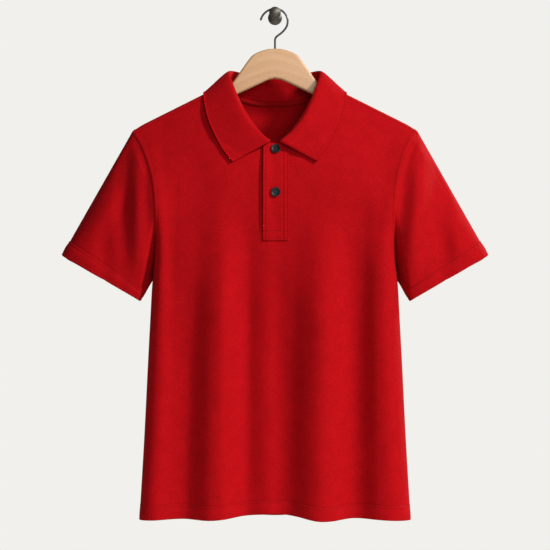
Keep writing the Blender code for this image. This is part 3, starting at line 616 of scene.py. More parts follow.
# ---------------------------------------------------------------- cloth made from a grid
@dataclass
class Cloth:
    """A wall of cloth whose outer face is a grid of points, closed by an inner face and rims.

    rows is (rows, columns, 3), and thickness a number or a grid. ring joins each row's end to its
    start. keep says which cells are there. side keeps the wall on one side of the hanger's plane.
    """

    rows: Array
    thickness: Array | float
    ring: bool = False
    keep: Array | None = None
    side: int = 0

    def normals(self) -> Array:
        """The outward direction at each point of the grid.

        Returns:
            Unit vectors, one for each point.
        """
        down = np.gradient(self.rows, axis=0)
        if self.ring:
            across = np.roll(self.rows, -1, axis=1) - np.roll(self.rows, 1, axis=1)
        else:
            across = np.gradient(self.rows, axis=1)
        normal = np.cross(down, across)
        return normal / np.maximum(np.linalg.norm(normal, axis=-1, keepdims=True), 1e-12)

    def lengths(self) -> Array:
        """Each point's place on the flat cloth, in metres: along its row, and up its column.

        Returns:
            The two lengths at each point, as (rows, columns, 2).
        """
        rows = self.rows
        if self.ring:
            rows = np.concatenate((rows, rows[:, :1]), axis=1)
        steps = np.linalg.norm(np.diff(rows, axis=1), axis=-1)
        across = np.concatenate((np.zeros((len(rows), 1)), np.cumsum(steps, axis=1)), axis=1)
        across -= across[:, [across.shape[1] // 2]]
        steps = np.linalg.norm(np.diff(rows, axis=0), axis=-1)
        down = np.concatenate((np.zeros((1, rows.shape[1])), np.cumsum(steps, axis=0)), axis=0)
        return np.stack((across, down[-1] - down), axis=-1)

    def mesh(self, name: str) -> bpy.types.Mesh:
        """The closed wall as a mesh, with the flat cloth's metres as its UV map.

        Args:
            name: The mesh's name.

        Returns:
            The mesh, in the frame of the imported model.
        """
        count_r, count_c = self.rows.shape[:2]
        thick = np.broadcast_to(np.asarray(self.thickness, float), (count_r, count_c))
        inner = self.rows - self.normals() * thick[..., None]
        if self.side:
            inner[..., 1] = self.side * np.maximum(self.side * inner[..., 1], SEAM_GAP / 2)
        cells_c = count_c if self.ring else count_c - 1
        r, c = np.meshgrid(np.arange(count_r - 1), np.arange(cells_c), indexing="ij")
        kept = np.ones(r.shape, bool) if self.keep is None else self.keep
        r, c = r[kept], c[kept]
        after = (c + 1) % count_c
        row, next_row = r * count_c, (r + 1) * count_c
        faces = np.stack((row + c, next_row + c, next_row + after, row + after), axis=-1)
        flat = self.lengths()
        corners = np.stack((flat[r, c], flat[r + 1, c], flat[r + 1, c + 1], flat[r, c + 1]), 1)
        starts = faces.ravel()
        ends = np.roll(faces, -1, axis=1).ravel()
        total = count_r * count_c
        forward = starts * total + ends
        rim = ~np.isin(forward, ends * total + starts)
        corner_flat = corners.reshape(-1, 2)
        next_flat = np.roll(corners, -1, axis=1).reshape(-1, 2)
        a, b = starts[rim], ends[rim]
        rims = np.stack((b, a, a + total, b + total), axis=-1)
        rim_corners = np.stack(
            (next_flat[rim], corner_flat[rim], corner_flat[rim] + CLOTH, next_flat[rim] + CLOTH), 1
        )
        all_faces = np.concatenate((faces, faces[:, ::-1] + total, rims))
        all_corners = np.concatenate((corners, corners[:, ::-1], rim_corners))
        points = np.concatenate((self.rows.reshape(-1, 3), inner.reshape(-1, 3))) + HUNG_AT
        used, renumbered = np.unique(all_faces, return_inverse=True)
        mesh = bpy.data.meshes.new(name)
        mesh.from_pydata(points[used].tolist(), [], renumbered.reshape(-1, 4).tolist())
        layer = mesh.uv_layers.new(name="cloth")
        layer.data.foreach_set("uv", all_corners.astype(np.float32).ravel())
        mesh.shade_smooth()
        mesh.update()
        return mesh


def area_of(mesh: bpy.types.Mesh) -> float:
    """The mesh's surface in square metres."""
    return sum(polygon.area for polygon in mesh.polygons)


def link(name: str, data: bpy.types.ID) -> bpy.types.Object:
    """An object for a mesh, curve, light or camera, in the scene.

    Args:
        name: The object's name.
        data: What it shows.

    Returns:
        The object.
    """
    made = bpy.data.objects.new(name, data)
    bpy.context.scene.collection.objects.link(made)
    return made


def mesh_of(shape: bmesh.types.BMesh, name: str) -> bpy.types.Mesh:
    """A new mesh from a shape, which is freed.

    Args:
        shape: The shape.
        name: The mesh's name.

    Returns:
        The mesh.
    """
    mesh = bpy.data.meshes.new(name)
    shape.to_mesh(mesh)
    shape.free()
    return mesh


def evaluated_mesh(made: bpy.types.Object) -> bpy.types.Mesh:
    """A plain mesh of what an object's modifiers or curve settings make."""
    graph = bpy.context.evaluated_depsgraph_get()
    return bpy.data.meshes.new_from_object(made.evaluated_get(graph))


def dress(
    name: str, mesh: bpy.types.Mesh, material: bpy.types.Material, slot: str, *nodes: str
) -> bpy.types.Object:
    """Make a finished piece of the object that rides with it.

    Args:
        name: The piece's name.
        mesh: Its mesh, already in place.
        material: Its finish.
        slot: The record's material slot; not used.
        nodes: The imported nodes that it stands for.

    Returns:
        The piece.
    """
    mesh.materials.clear()
    mesh.materials.append(material)
    piece = link(name, mesh)
    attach(piece, "root")
    if nodes:
        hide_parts(*nodes)
    LOG.info("%s: %d faces, %.4f m2", name, len(mesh.polygons), area_of(mesh))
    return piece


# ---------------------------------------------------------------- finishes


def linear(colour: str) -> tuple[float, float, float, float]:
    """An sRGB hex colour as linear red, green, blue and alpha.

    Args:
        colour: The colour, such as #BA0511.

    Returns:
        The four numbers.
    """
    parts = [int(colour[k : k + 2], 16) / 255 for k in (1, 3, 5)]
    made = [p / 12.92 if p <= 0.04045 else ((p + 0.055) / 1.055) ** 2.4 for p in parts]
    return (made[0], made[1], made[2], 1.0)


def add(
    tree: bpy.types.NodeTree, kind: str, inputs: Mapping[Any, Any] | None = None, **settings: Any
) -> bpy.types.Node:
    """Add one node with its settings and links.

    Args:
        tree: The tree that gets the node.
        kind: The node's type.
        inputs: Values or sockets for its inputs, by name or number.
        settings: Values for its own properties.

    Returns:
        The node.
    """
    node = tree.nodes.new(kind)
    for name, value in settings.items():
        setattr(node, name, value)
    for key, value in (inputs or {}).items():
        if isinstance(value, bpy.types.NodeSocket):
            tree.links.new(value, node.inputs[key])
        else:
            node.inputs[key].default_value = value
    return node


def empty_material(name: str) -> tuple[bpy.types.Material, bpy.types.NodeTree]:
    """A material with an empty tree.

    Args:
        name: The material's name.

    Returns:
        The material and its tree.
    """
    material = bpy.data.materials.new(name)
    material.use_nodes = True
    material.node_tree.nodes.clear()
    return material, material.node_tree


def object_place(tree: bpy.types.NodeTree) -> bpy.types.NodeSocket:
    """The place on the object in metres, for patterns in a solid."""
    return add(tree, "ShaderNodeTexCoord").outputs["Object"]


def math_of(tree: bpy.types.NodeTree, operation: str, *values: Any) -> bpy.types.NodeSocket:
    """The result of one sum, whose terms are numbers or sockets."""
    return add(tree, "ShaderNodeMath", dict(enumerate(values)), operation=operation).outputs[0]


def blend(tree: bpy.types.NodeTree, share: Any, none: Any, full: Any) -> bpy.types.NodeSocket:
    """A colour between two colours, each a hex colour or a socket.

    Args:
        tree: The tree that gets the node.
        share: How much of the second colour, 0 to 1.
        none: The colour at 0.
        full: The colour at 1.

    Returns:
        The mixed colour.
    """
    none, full = (linear(end) if isinstance(end, str) else end for end in (none, full))
    mixed = add(tree, "ShaderNodeMix", {"Factor": share, 6: none, 7: full}, data_type="RGBA")
    return mixed.outputs[2]


def relief_of(tree: bpy.types.NodeTree, height: Any, strength: float, deep: float) -> Any:
    """The face's direction with a low relief, deep in metres."""
    settings = {"Height": height, "Strength": strength, "Distance": deep}
    return add(tree, "ShaderNodeBump", settings).outputs[0]


def surface(tree: bpy.types.NodeTree, colour: Any, inputs: Mapping[str, Any]) -> None:
    """End a material's tree with its one shader."""
    shader = add(tree, "ShaderNodeBsdfPrincipled", {"Base Color": colour, **inputs})
    add(tree, "ShaderNodeOutputMaterial", {"Surface": shader.outputs[0]})


@dataclass(frozen=True)
class Knit:
    """Brushed cotton pique or rib, dyed red: a matt face with a soft sheen at a low angle.

    Real pique cells are about 1.2 mm and would be lost in the picture, so they are drawn at
    cell_mm. Their gaps are painted a little darker than the cells' backs: painted shade in the
    recesses.
    """

    name: str
    light: str = "#BA0511"
    dark: str = "#960106"
    cell_mm: float = 2.4
    cell_turn: float = math.radians(45)
    cell_stretch: float = 1.0
    relief_mm: float = 0.30
    mottle_mm: float = 22.0
    fuzz_mm: float = 1.8
    middle_share: float = 0.60
    roughness: float = 0.88
    sheen: float = 0.05
    sheen_tint: str = "#FF7068"

    def material(self) -> bpy.types.Material:
        """Build the finish.

        Returns:
            The material.
        """
        material, tree = empty_material(self.name)
        flat = add(tree, "ShaderNodeUVMap", uv_map="cloth").outputs["UV"]
        cells = add(tree, "ShaderNodeMapping", {
            "Vector": flat,
            "Rotation": (0, 0, self.cell_turn),
            "Scale": (1000 / self.cell_mm, 1000 / self.cell_mm * self.cell_stretch, 1),
        })
        cell = add(tree, "ShaderNodeTexVoronoi", {
            "Vector": cells.outputs[0], "Scale": 1.0, "Randomness": 0.3,
        }, voronoi_dimensions="2D", feature="SMOOTH_F1")
        mottle = add(tree, "ShaderNodeTexNoise", {
            "Vector": flat, "Scale": 1000 / self.mottle_mm, "Detail": 3.0, "Roughness": 0.6,
        }, noise_dimensions="2D")
        streak_place = add(tree, "ShaderNodeMapping", {"Vector": flat, "Scale": (140, 620, 1)})
        streak = add(tree, "ShaderNodeTexNoise", {
            "Vector": streak_place.outputs[0], "Scale": 1.0, "Detail": 2.0, "Roughness": 0.55,
        }, noise_dimensions="2D")
        fuzz = add(tree, "ShaderNodeTexNoise", {
            "Vector": flat, "Scale": 1000 / self.fuzz_mm, "Detail": 3.0, "Roughness": 0.7,
        }, noise_dimensions="2D")
        parts = (
            # pattern, gain, offset
            # the cells' gaps are painted darker: painted shade in the recesses between the cells
            (cell.outputs["Distance"], -0.30, 0.12),
            (mottle.outputs[0], 0.55, -0.275),
            (streak.outputs[0], 0.9, -0.45),
            (fuzz.outputs[0], 1.6, -0.80),
        )
        total: Any = self.middle_share
        for socket, gain, offset in parts:
            total = math_of(tree, "ADD", total, math_of(tree, "MULTIPLY_ADD", socket, gain, offset))
        share = add(tree, "ShaderNodeClamp", {"Value": total})
        height = math_of(tree, "MULTIPLY_ADD", cell.outputs["Distance"], -1.0, fuzz.outputs[0])
        surface(tree, blend(tree, share.outputs[0], self.dark, self.light), {
            "Normal": relief_of(tree, height, 0.55, self.relief_mm / 1000),
            "Roughness": self.roughness,
            "Specular IOR Level": 0.10,
            "Sheen Weight": self.sheen,
            "Sheen Roughness": 0.45,
            "Sheen Tint": linear(self.sheen_tint),
        })
        return material


@dataclass(frozen=True)
class Thread:
    """Spun polyester sewing thread: a shade lighter than the knit and a little glossy."""

    name: str = "polyester_thread"
    light: str = "#C20A14"
    dark: str = "#A00510"

    def material(self) -> bpy.types.Material:
        """Build the finish.

        Returns:
            The material.
        """
        material, tree = empty_material(self.name)
        place = {"Vector": object_place(tree)}
        twist = add(tree, "ShaderNodeTexNoise", {**place, "Scale": 900.0, "Detail": 2.0}).outputs[0]
        surface(tree, blend(tree, twist, self.dark, self.light), {
            "Normal": relief_of(tree, twist, 0.3, 0.0001), "Roughness": 0.6,
            "Specular IOR Level": 0.25,
        })
        return material


@dataclass(frozen=True)
class Beech:
    """Beech, planed, sanded and clear lacquered: pale, with short darker flecks along the grain."""

    name: str = "beech"
    pale: str = "#E3BC90"
    warm: str = "#C9976A"
    fleck: str = "#A9713F"
    grain_slope: float = 0.47

    def material(self) -> bpy.types.Material:
        """Build the finish.

        Returns:
            The material.
        """
        material, tree = empty_material(self.name)
        axes = add(tree, "ShaderNodeSeparateXYZ", {0: object_place(tree)}).outputs
        arm = math_of(tree, "SQRT", math_of(tree, "MULTIPLY_ADD", axes[0], axes[0], 0.0004))
        level = math_of(tree, "MULTIPLY_ADD", arm, self.grain_slope, axes[2])
        bent = add(tree, "ShaderNodeCombineXYZ", {0: axes[0], 1: axes[1], 2: level})
        year = add(tree, "ShaderNodeMapping", {"Vector": bent.outputs[0], "Scale": (7, 60, 150)})
        rings = add(tree, "ShaderNodeTexNoise", {
            "Vector": year.outputs[0], "Scale": 1.0, "Detail": 4.0, "Roughness": 0.55,
            "Distortion": 0.4,
        })
        ray = add(tree, "ShaderNodeMapping", {"Vector": bent.outputs[0], "Scale": (260, 900, 1300)})
        rays = add(tree, "ShaderNodeTexNoise", {
            "Vector": ray.outputs[0], "Scale": 1.0, "Detail": 1.0,
        }).outputs[0]
        few = add(tree, "ShaderNodeMapRange", {
            "Value": rays, "From Min": 0.60, "From Max": 0.72, "To Min": 0.0, "To Max": 0.5,
        })
        ground = blend(tree, rings.outputs[0], self.pale, self.warm)
        surface(tree, blend(tree, few.outputs[0], ground, self.fleck), {
            "Normal": relief_of(tree, rays, 0.15, 0.0002), "Roughness": 0.48,
            "Coat Weight": 0.15, "Coat Roughness": 0.3,
        })
        return material


@dataclass(frozen=True)
class Metal:
    """A drawn or turned metal with a darkened skin, a little brighter where it is rubbed."""

    name: str
    dark: str
    bright: str
    roughness: float
    grain_mm: float
    rubbed: float = 0.08

    def material(self) -> bpy.types.Material:
        """Build the finish.

        Returns:
            The material.
        """
        material, tree = empty_material(self.name)
        skin = add(tree, "ShaderNodeTexNoise", {
            "Vector": object_place(tree), "Scale": 1000 / self.grain_mm, "Detail": 5.0,
            "Roughness": 0.6,
        }).outputs[0]
        rough = add(tree, "ShaderNodeMapRange", {
            "Value": skin, "To Min": self.roughness - self.rubbed,
            "To Max": self.roughness + self.rubbed,
        })
        surface(tree, blend(tree, skin, self.dark, self.bright), {
            "Normal": relief_of(tree, skin, 0.1, 0.0002), "Roughness": rough.outputs[0],
            "Metallic": 1.0,
        })
        return material


@dataclass(frozen=True)
class Resin:
    """Cast polyester resin, tumbled to a soft gloss, dark navy with faint clouds."""

    name: str = "button_resin"
    dark: str = "#0C0E11"
    cloud: str = "#1E2328"

    def material(self) -> bpy.types.Material:
        """Build the finish.

        Returns:
            The material.
        """
        material, tree = empty_material(self.name)
        clouds = add(tree, "ShaderNodeTexNoise", {
            "Vector": object_place(tree), "Scale": 260.0, "Detail": 3.0, "Distortion": 1.2,
        })
        surface(tree, blend(tree, clouds.outputs[0], self.dark, self.cloud), {
            "Roughness": 0.45, "Specular IOR Level": 0.35,
        })
        return material


@dataclass
class Finishes:
    """Every finish of the object, built once."""

    pique: bpy.types.Material
    rib: bpy.types.Material
    tape: bpy.types.Material
    thread: bpy.types.Material
    dark_thread: bpy.types.Material
    resin: bpy.types.Material
    beech: bpy.types.Material
    steel: bpy.types.Material
    pewter: bpy.types.Material

    @classmethod
    def make(cls) -> "Finishes":
        """Build all the finishes.

        Returns:
            The finishes.
        """
        return cls(
            pique=Knit("brushed_cotton_pique").material(),
            rib=Knit("cotton_rib", cell_turn=0.0, cell_stretch=0.35, cell_mm=1.8).material(),
            tape=Knit("cotton_tape", light="#AC0811", dark="#850206", cell_mm=1.4).material(),
            thread=Thread().material(),
            dark_thread=Thread("black_thread", "#3A4048", "#1B1E22").material(),
            resin=Resin().material(),
            beech=Beech().material(),
            steel=Metal("blackened_drawn_steel", "#3E3F40", "#66686A", 0.36, 3.0).material(),
            pewter=Metal("cast_pewter", "#5A5754", "#8C8781", 0.56, 2.4).material(),
        )


# ---------------------------------------------------------------- stitching
class Seam(Enum):
    """How a line is sewn: stitch pitch, stitch length and thread radius, in metres."""

    COVER = (0.0034, 0.0026, 0.00028)
    LOCK = (0.0029, 0.0021, 0.00026)


@dataclass
class Stitcher:
    """Sews lines of stitches with one Geometry Nodes tree."""

    thread: bpy.types.Material
    slot: str = "red_pique"

    def __post_init__(self) -> None:
        """Build the tree: a stitch at each step of a line, turned along it."""
        tree = bpy.data.node_groups.new("stitch_line", "GeometryNodeTree")
        face = tree.interface
        face.new_socket("Geometry", in_out="INPUT", socket_type="NodeSocketGeometry")
        for name in ("Pitch", "Stitch Length", "Thread Radius"):
            face.new_socket(name, in_out="INPUT", socket_type="NodeSocketFloat")
        face.new_socket("Seed", in_out="INPUT", socket_type="NodeSocketInt")
        face.new_socket("Thread", in_out="INPUT", socket_type="NodeSocketMaterial")
        face.new_socket("Geometry", in_out="OUTPUT", socket_type="NodeSocketGeometry")
        given = add(tree, "NodeGroupInput").outputs
        line = add(tree, "GeometryNodeMeshToCurve", {0: given["Geometry"]})
        steps = add(tree, "GeometryNodeResampleCurve", {
            "Curve": line.outputs[0], "Length": given["Pitch"],
        }, mode="LENGTH")
        tangent = add(tree, "GeometryNodeInputTangent")
        turn = add(tree, "FunctionNodeAlignRotationToVector", {
            "Vector": tangent.outputs[0],
        }, axis="X")
        loose = add(tree, "FunctionNodeRandomValue", {
            "Min": (-0.10, -0.10, -0.16), "Max": (0.10, 0.10, 0.16), "Seed": given["Seed"],
        }, data_type="FLOAT_VECTOR")
        jitter = add(tree, "FunctionNodeEulerToRotation", {0: loose.outputs[0]})
        turned = add(tree, "FunctionNodeRotateRotation", {
            0: turn.outputs[0], 1: jitter.outputs[0],
        }, rotation_space="LOCAL")
        ball = add(tree, "GeometryNodeMeshUVSphere", {"Segments": 6, "Rings": 4, "Radius": 1.0})
        size = add(tree, "ShaderNodeCombineXYZ", {
            0: math_of(tree, "MULTIPLY", given["Stitch Length"], 0.5),
            1: given["Thread Radius"], 2: given["Thread Radius"],
        })
        sewn = add(tree, "GeometryNodeInstanceOnPoints", {
            "Points": steps.outputs[0], "Instance": ball.outputs[0],
            "Rotation": turned.outputs[0], "Scale": size.outputs[0],
        })
        real = add(tree, "GeometryNodeRealizeInstances", {0: sewn.outputs[0]})
        shaded = add(tree, "GeometryNodeSetShadeSmooth", {0: real.outputs[0]})
        dyed = add(tree, "GeometryNodeSetMaterial", {
            0: shaded.outputs[0], "Material": given["Thread"],
        })
        add(tree, "NodeGroupOutput", {0: dyed.outputs[0]})
        self.tree = tree
        self.inputs = {
            item.name: item.identifier for item in face.items_tree if item.in_out == "INPUT"
        }

    def sew(self, name: str, lines: Sequence[Array], seam: Seam, seed: int) -> bpy.types.Object:
        """Sew lines of points into one piece.

        Args:
            name: The piece's name.
            lines: Each line's points, in the shirt's frame.
            seam: How they are sewn.
            seed: The seed of the stitches' small turns.

        Returns:
            The stitches as one piece.
        """
        points: list[list[float]] = []
        edges: list[tuple[int, int]] = []
        for line in lines:
            first = len(points)
            points += (np.asarray(line) + HUNG_AT).tolist()
            edges += [(k, k + 1) for k in range(first, len(points) - 1)]
        path = bpy.data.meshes.new(name + "_path")
        path.from_pydata(points, edges, [])
        guide = link(name + "_path", path)
        nodes = guide.modifiers.new("stitches", "NODES")
        nodes.node_group = self.tree
        pitch, length, radius = seam.value
        values = {"Pitch": pitch, "Stitch Length": length, "Thread Radius": radius, "Seed": seed}
        for key, value in values.items():
            nodes[self.inputs[key]] = value
        nodes[self.inputs["Thread"]] = self.thread
        mesh = evaluated_mesh(guide)
        guide.modifiers.clear()
        bpy.data.objects.remove(guide)
        mesh.name = name
        return dress(name, mesh, self.thread, self.slot)


# ---------------------------------------------------------------- sewn sub-assemblies


def steps_between(start: float, end: float, count: int) -> Array:
    """Even shares from start up to but without end."""
    return start + (end - start) * np.arange(count) / count


def hem_lines(hem: float) -> tuple[float, float]:
    """A hem's two rows of stitches, above its edge."""
    return (hem - 0.0035, hem + 0.0005)


def hem_relief(above: Array, hem: float, roll_at: float, roll_half: float) -> Array:
    """The low relief of a turned hem: its step, its stitches' dents and its soft roll.

    Args:
        above: Heights above the hem's edge.
        hem: How deep the hem is turned.
        roll_at: The roll's height above the edge.
        roll_half: The roll's half width.

    Returns:
        How far the face stands out.
    """
    step = HEM_STEP * smooth((hem + 0.001 - above) / 0.002)
    sunk = sum(np.exp(-(((above - at) / HEM_DENT_HALF) ** 2)) for at in hem_lines(hem))
    roll = HEM_ROLL * np.exp(-(((above - roll_at) / roll_half) ** 2))
    return step - STITCH_SINK * sunk + roll


@dataclass
class BodyPanel:
    """The front or the back, with its turned hem."""

    name: str
    wall: Wall
    flat: tuple[float, float]
    area: float
    columns: int = 66
    rows_above: int = 56
    rows_below: int = 112
    slit: bool = False
    seam_band: float = 0.0065
    seam_share_width: float = 0.21
    band_height: float = 0.0010
    seam_depth: float = 0.0008
    shoulder_seam: float = 0.0068
    shoulder_height: float = 0.0008
    shoulder_depth: float = 0.0007
    ridge_shares: tuple[float, ...] = (
        0, 0.0012, 0.0026, 0.0045, 0.0065, 0.0080, 0.0092, 0.0104, 0.0116, 0.0130, 0.0152,
    )

    def shares_down(self) -> Array:
        """Shares of the grid's rows, close over the hanger and at the hem's stitches.

        Returns:
            The rising shares, from 0 to 1.
        """
        hem, near = BODY_HEM_SHARE, 1 - BODY_HEM_SHARE
        above = steps_between(0.018, ARMHOLE_SHARE, self.rows_above)
        below = steps_between(ARMHOLE_SHARE, hem - 0.2 * near, self.rows_below)
        stitched = steps_between(hem - 0.2 * near, hem + 0.25 * near, 12)
        turned = steps_between(hem + 0.25 * near, 1.0, 8)
        shares = np.concatenate((self.ridge_shares, above, below, stitched, turned, [1.0]))
        if self.slit:
            shares[np.argmin(np.abs(shares - SLIT_SHARE))] = SLIT_SHARE
        return shares

    def shares_across(self) -> Array:
        """Shares of the grid's columns, close at the armhole and side seam.

        Returns:
            The rising shares, from -1 to 1.
        """
        inner = steps_between(SLIT_HALF_SHARE, 0.945, self.columns)
        edge = 0.945 + 0.055 * np.arange(9) / 8
        centre = SLIT_HALF_SHARE * np.arange(4) / 4
        half = np.concatenate((centre, inner, edge))
        return np.concatenate((-half[:0:-1], half))

    def build(self, finish: bpy.types.Material) -> bpy.types.Object:
        """Make the panel.

        Args:
            finish: The knit.

        Returns:
            The panel as a piece.
        """
        down, across = self.shares_down(), self.shares_across()
        if self.wall.toward > 0:
            across = across[::-1]
        x, z = self.wall.place(across[None, :], down[:, None])
        out = self.relief(*np.broadcast_arrays(across[None, :], down[:, None]))
        if self.slit:
            out = out + self.shoulder_relief(x, z)
        rows = self.wall.point(x, z, out * section_share(x, z))
        thickness = np.where(down >= BODY_HEM_SHARE, HEM_CLOTH, CLOTH)[:, None]
        keep = None
        if self.slit:
            shown = np.abs((across[1:] + across[:-1]) / 2) > SLIT_HALF_SHARE
            keep = (down[:-1] >= SLIT_SHARE - 1e-9)[:, None] | shown[None, :]
        cloth = Cloth(rows, thickness, keep=keep, side=self.wall.toward)
        piece = dress(self.name + "_cloth", cloth.mesh(self.name), finish, "red_pique", self.name)
        return piece

    def relief(self, across: Array, down: Array) -> Array:
        """The low relief of sewing: hem, hem stitches and the band of turned cloth at a seam.

        Args:
            across: Shares across.
            down: Shares down.

        Returns:
            How far the face stands out.
        """
        hem = hem_relief((1 - down) * BODY_LENGTH, BODY_HEM, 0.009, 0.006)
        seam = (1 - np.abs(across)) * self.seam_share_width
        in_hole = smooth((ARMHOLE_SHARE + 0.01 - down) / 0.02)
        band = self.band_height * smooth((self.seam_band - seam) / 0.0020) * in_hole
        rolled = self.seam_depth * np.exp(-((seam / 0.0012) ** 2)) * in_hole
        return hem + band - rolled

    def shoulder_relief(self, x: Array, z: Array) -> Array:
        """The shoulder seam: its allowance turned to the front, and the line it is sewn along.

        Args:
            x: Places across.
            z: Heights.

        Returns:
            How far the face stands out.
        """
        below = shoulder_z(x) - z
        outside = smooth((np.abs(x) - NECK_HALF_WIDTH - 0.004) / 0.006)
        turned = self.shoulder_height * smooth((self.shoulder_seam - below) / 0.0014)
        turned = turned * smooth(below / 0.0020)
        drawn_in = self.shoulder_depth * np.exp(-(((below - self.shoulder_seam) / 0.0010) ** 2))
        return outside * (turned - drawn_in)

    def stitch_lines(self) -> list[Array]:
        """The hem's twin needle rows, the armholes' rows and, on the front, the shoulders'.

        Returns:
            Each row's points.
        """
        across = np.linspace(-0.997, 0.997, 240)
        lines = []
        for above in hem_lines(BODY_HEM):
            x, z = self.wall.place(across, np.full_like(across, 1 - above / BODY_LENGTH))
            lines.append(self.wall.point(x, z, (HEM_STEP - STITCH_SINK / 2) * section_share(x, z)))
        down = np.linspace(0.006, ARMHOLE_SHARE - 0.003, 120)
        for sign in (-1, 1):
            sewn = np.full_like(down, sign * (1 - self.seam_band / self.seam_share_width))
            x, z = self.wall.place(sewn, down)
            lines.append(self.wall.point(x, z, 0.0009))
            if self.slit:
                x = sign * np.linspace(NECK_HALF_WIDTH + 0.030, SHOULDER_HALF_WIDTH - 0.004, 90)
                z = shoulder_z(x) - self.shoulder_seam + 0.0012
                lines.append(self.wall.point(x, z, 0.0007))
        return lines


@dataclass
class Sleeve:
    """A short sleeve with a turned hem, closed by one underarm seam."""

    name: str
    sign: int
    flat: tuple[float, float]
    area: float
    half_ring: int = 66
    rows: int = 84

    def points(self, around: Array, down: Array, toward: Array, out: Array | float = 0.0) -> Array:
        """Points of the sleeve.

        Args:
            around: From its top fold (0) to the underarm seam (1).
            down: From the armhole (0) to the cuff (1).
            toward: -1 on the front and 1 on the back.
            out: How far to stand out at the cuff.

        Returns:
            An array of points.
        """
        around, down, toward, out = np.broadcast_arrays(around, down, toward, out)
        front = FRONT.armhole_point(around, self.sign)
        back = BACK.armhole_point(around, self.sign)
        top = np.where((toward < 0)[..., None], front, back)
        x, depth, z = (column(CUFF, k, around) for k in (1, 2, 3))
        away_x, away_z = x - CUFF_MIDDLE[0], z - CUFF_MIDDLE[1]
        away = np.hypot(away_x, away_z)
        x, z = x + away_x / away * out, z + away_z / away * out
        depth = depth + out * np.minimum(depth / 0.02, 1)
        drop = BACK_CUFF_DROP * smooth(3 * np.sin(math.pi * around)) * (toward > 0)
        x, z = x + 0.5 * drop, z - 0.87 * drop
        low = np.stack((self.sign * x, toward * depth, z), axis=-1)
        made = top + (low - top) * down[..., None]
        made[..., 1] += toward * self.swell(made[..., 0], made[..., 2], around, down, toward)
        seam = (around <= 0) | (around >= 1)
        made[..., 1] = np.where(seam, 0.0, made[..., 1])
        under = smooth((around - 0.82) / 0.18) * np.sin(math.pi * np.minimum(down, 1))
        made[..., 0] -= self.sign * UNDERARM_TUCK * under
        return made

    def swell(self, x: Array, z: Array, around: Array, down: Array, toward: Array) -> Array:
        """How far the sleeve stands out from a straight line between armhole and cuff.

        Args:
            x: Places across.
            z: Heights.
            around: Shares from the top fold to the underarm seam.
            down: Shares from the armhole to the cuff.
            toward: -1 on the front and 1 on the back.

        Returns:
            The distances.
        """
        near_edge = np.sin(math.pi * around)
        total = SLEEVE_SWELL * np.sin(math.pi * np.minimum(down, 1)) * near_edge
        for (side, face), creases in SLEEVE_CREASES.items():
            if side == self.sign:
                relief = np.where(toward == face, sum(c.height_at(x, z) for c in creases), 0)
                total = total + relief * smooth(4 * near_edge) * smooth(12 * down)
        return total + ripple(x, z) * smooth(3 * near_edge) * smooth(12 * down)

    def slant(self) -> float:
        """The sleeve's length along its top fold."""
        tip_z = float(shoulder_z(SHOULDER_HALF_WIDTH))
        return math.hypot(CUFF[0][1] - SHOULDER_HALF_WIDTH, CUFF[0][3] - tip_z)

    def shares_down(self) -> Array:
        """Shares of the grid's rows, close at the armhole and at the hem's stitches.

        Returns:
            The rising shares, from 0 to 1.
        """
        hem = SLEEVE_HEM / self.slant()
        start = np.array((0, 0.004, 0.010))
        body = steps_between(0.018, 1 - 1.25 * hem, self.rows)
        stitched = steps_between(1 - 1.25 * hem, 1 - 0.8 * hem, 12)
        turned = steps_between(1 - 0.8 * hem, 1.0, 10)
        return np.concatenate((start, body, stitched, turned, [1.0]))

    def ring(self) -> tuple[Array, Array]:
        """The shares round the sleeve from its underarm seam, and which side each is on.

        Returns:
            The shares, and -1 on the front or 1 on the back.
        """
        half = np.arange(1, self.half_ring) / self.half_ring
        half = 0.5 * half + 0.5 * (0.5 - 0.5 * np.cos(math.pi * half))
        around = np.concatenate(([1.0], half[::-1], [0.0], half))
        toward = np.concatenate((np.full(len(half) + 2, 1.0), np.full(len(half), -1.0)))
        if self.sign > 0:
            toward = -toward
            toward[len(half) + 1] = toward[0] = -1.0
        return around, toward

    def hem_out(self, down: Array) -> Array:
        """How far the sleeve stands out at its hem, drawn in as a whole."""
        return hem_relief((1 - down) * self.slant(), SLEEVE_HEM, 0.012, 0.007) - CUFF_DRAWN_IN

    def build(self, finish: bpy.types.Material) -> bpy.types.Object:
        """Make the sleeve.

        Args:
            finish: The knit.

        Returns:
            The sleeve as a piece.
        """
        down = self.shares_down()
        around, toward = self.ring()
        out = self.hem_out(down)[:, None]
        rows = self.points(around[None, :], down[:, None], toward[None, :], out)
        thickness = np.where(down >= 1 - SLEEVE_HEM / self.slant(), HEM_CLOTH, CLOTH)[:, None]
        cloth = Cloth(rows, thickness, ring=True)
        piece = dress(self.name + "_cloth", cloth.mesh(self.name), finish, "red_pique", self.name)
        return piece

    def stitch_lines(self) -> list[Array]:
        """The hem's twin needle rows, each a ring.

        Returns:
            Each row's points.
        """
        around, toward = self.ring()
        around, toward = np.append(around, around[0]), np.append(toward, toward[0])
        out = HEM_STEP - STITCH_SINK / 2 - CUFF_DRAWN_IN
        lines = []
        for above in hem_lines(SLEEVE_HEM):
            down = np.full_like(around, 1 - above / self.slant())
            lines.append(self.points(around, down, toward, out))
        return lines


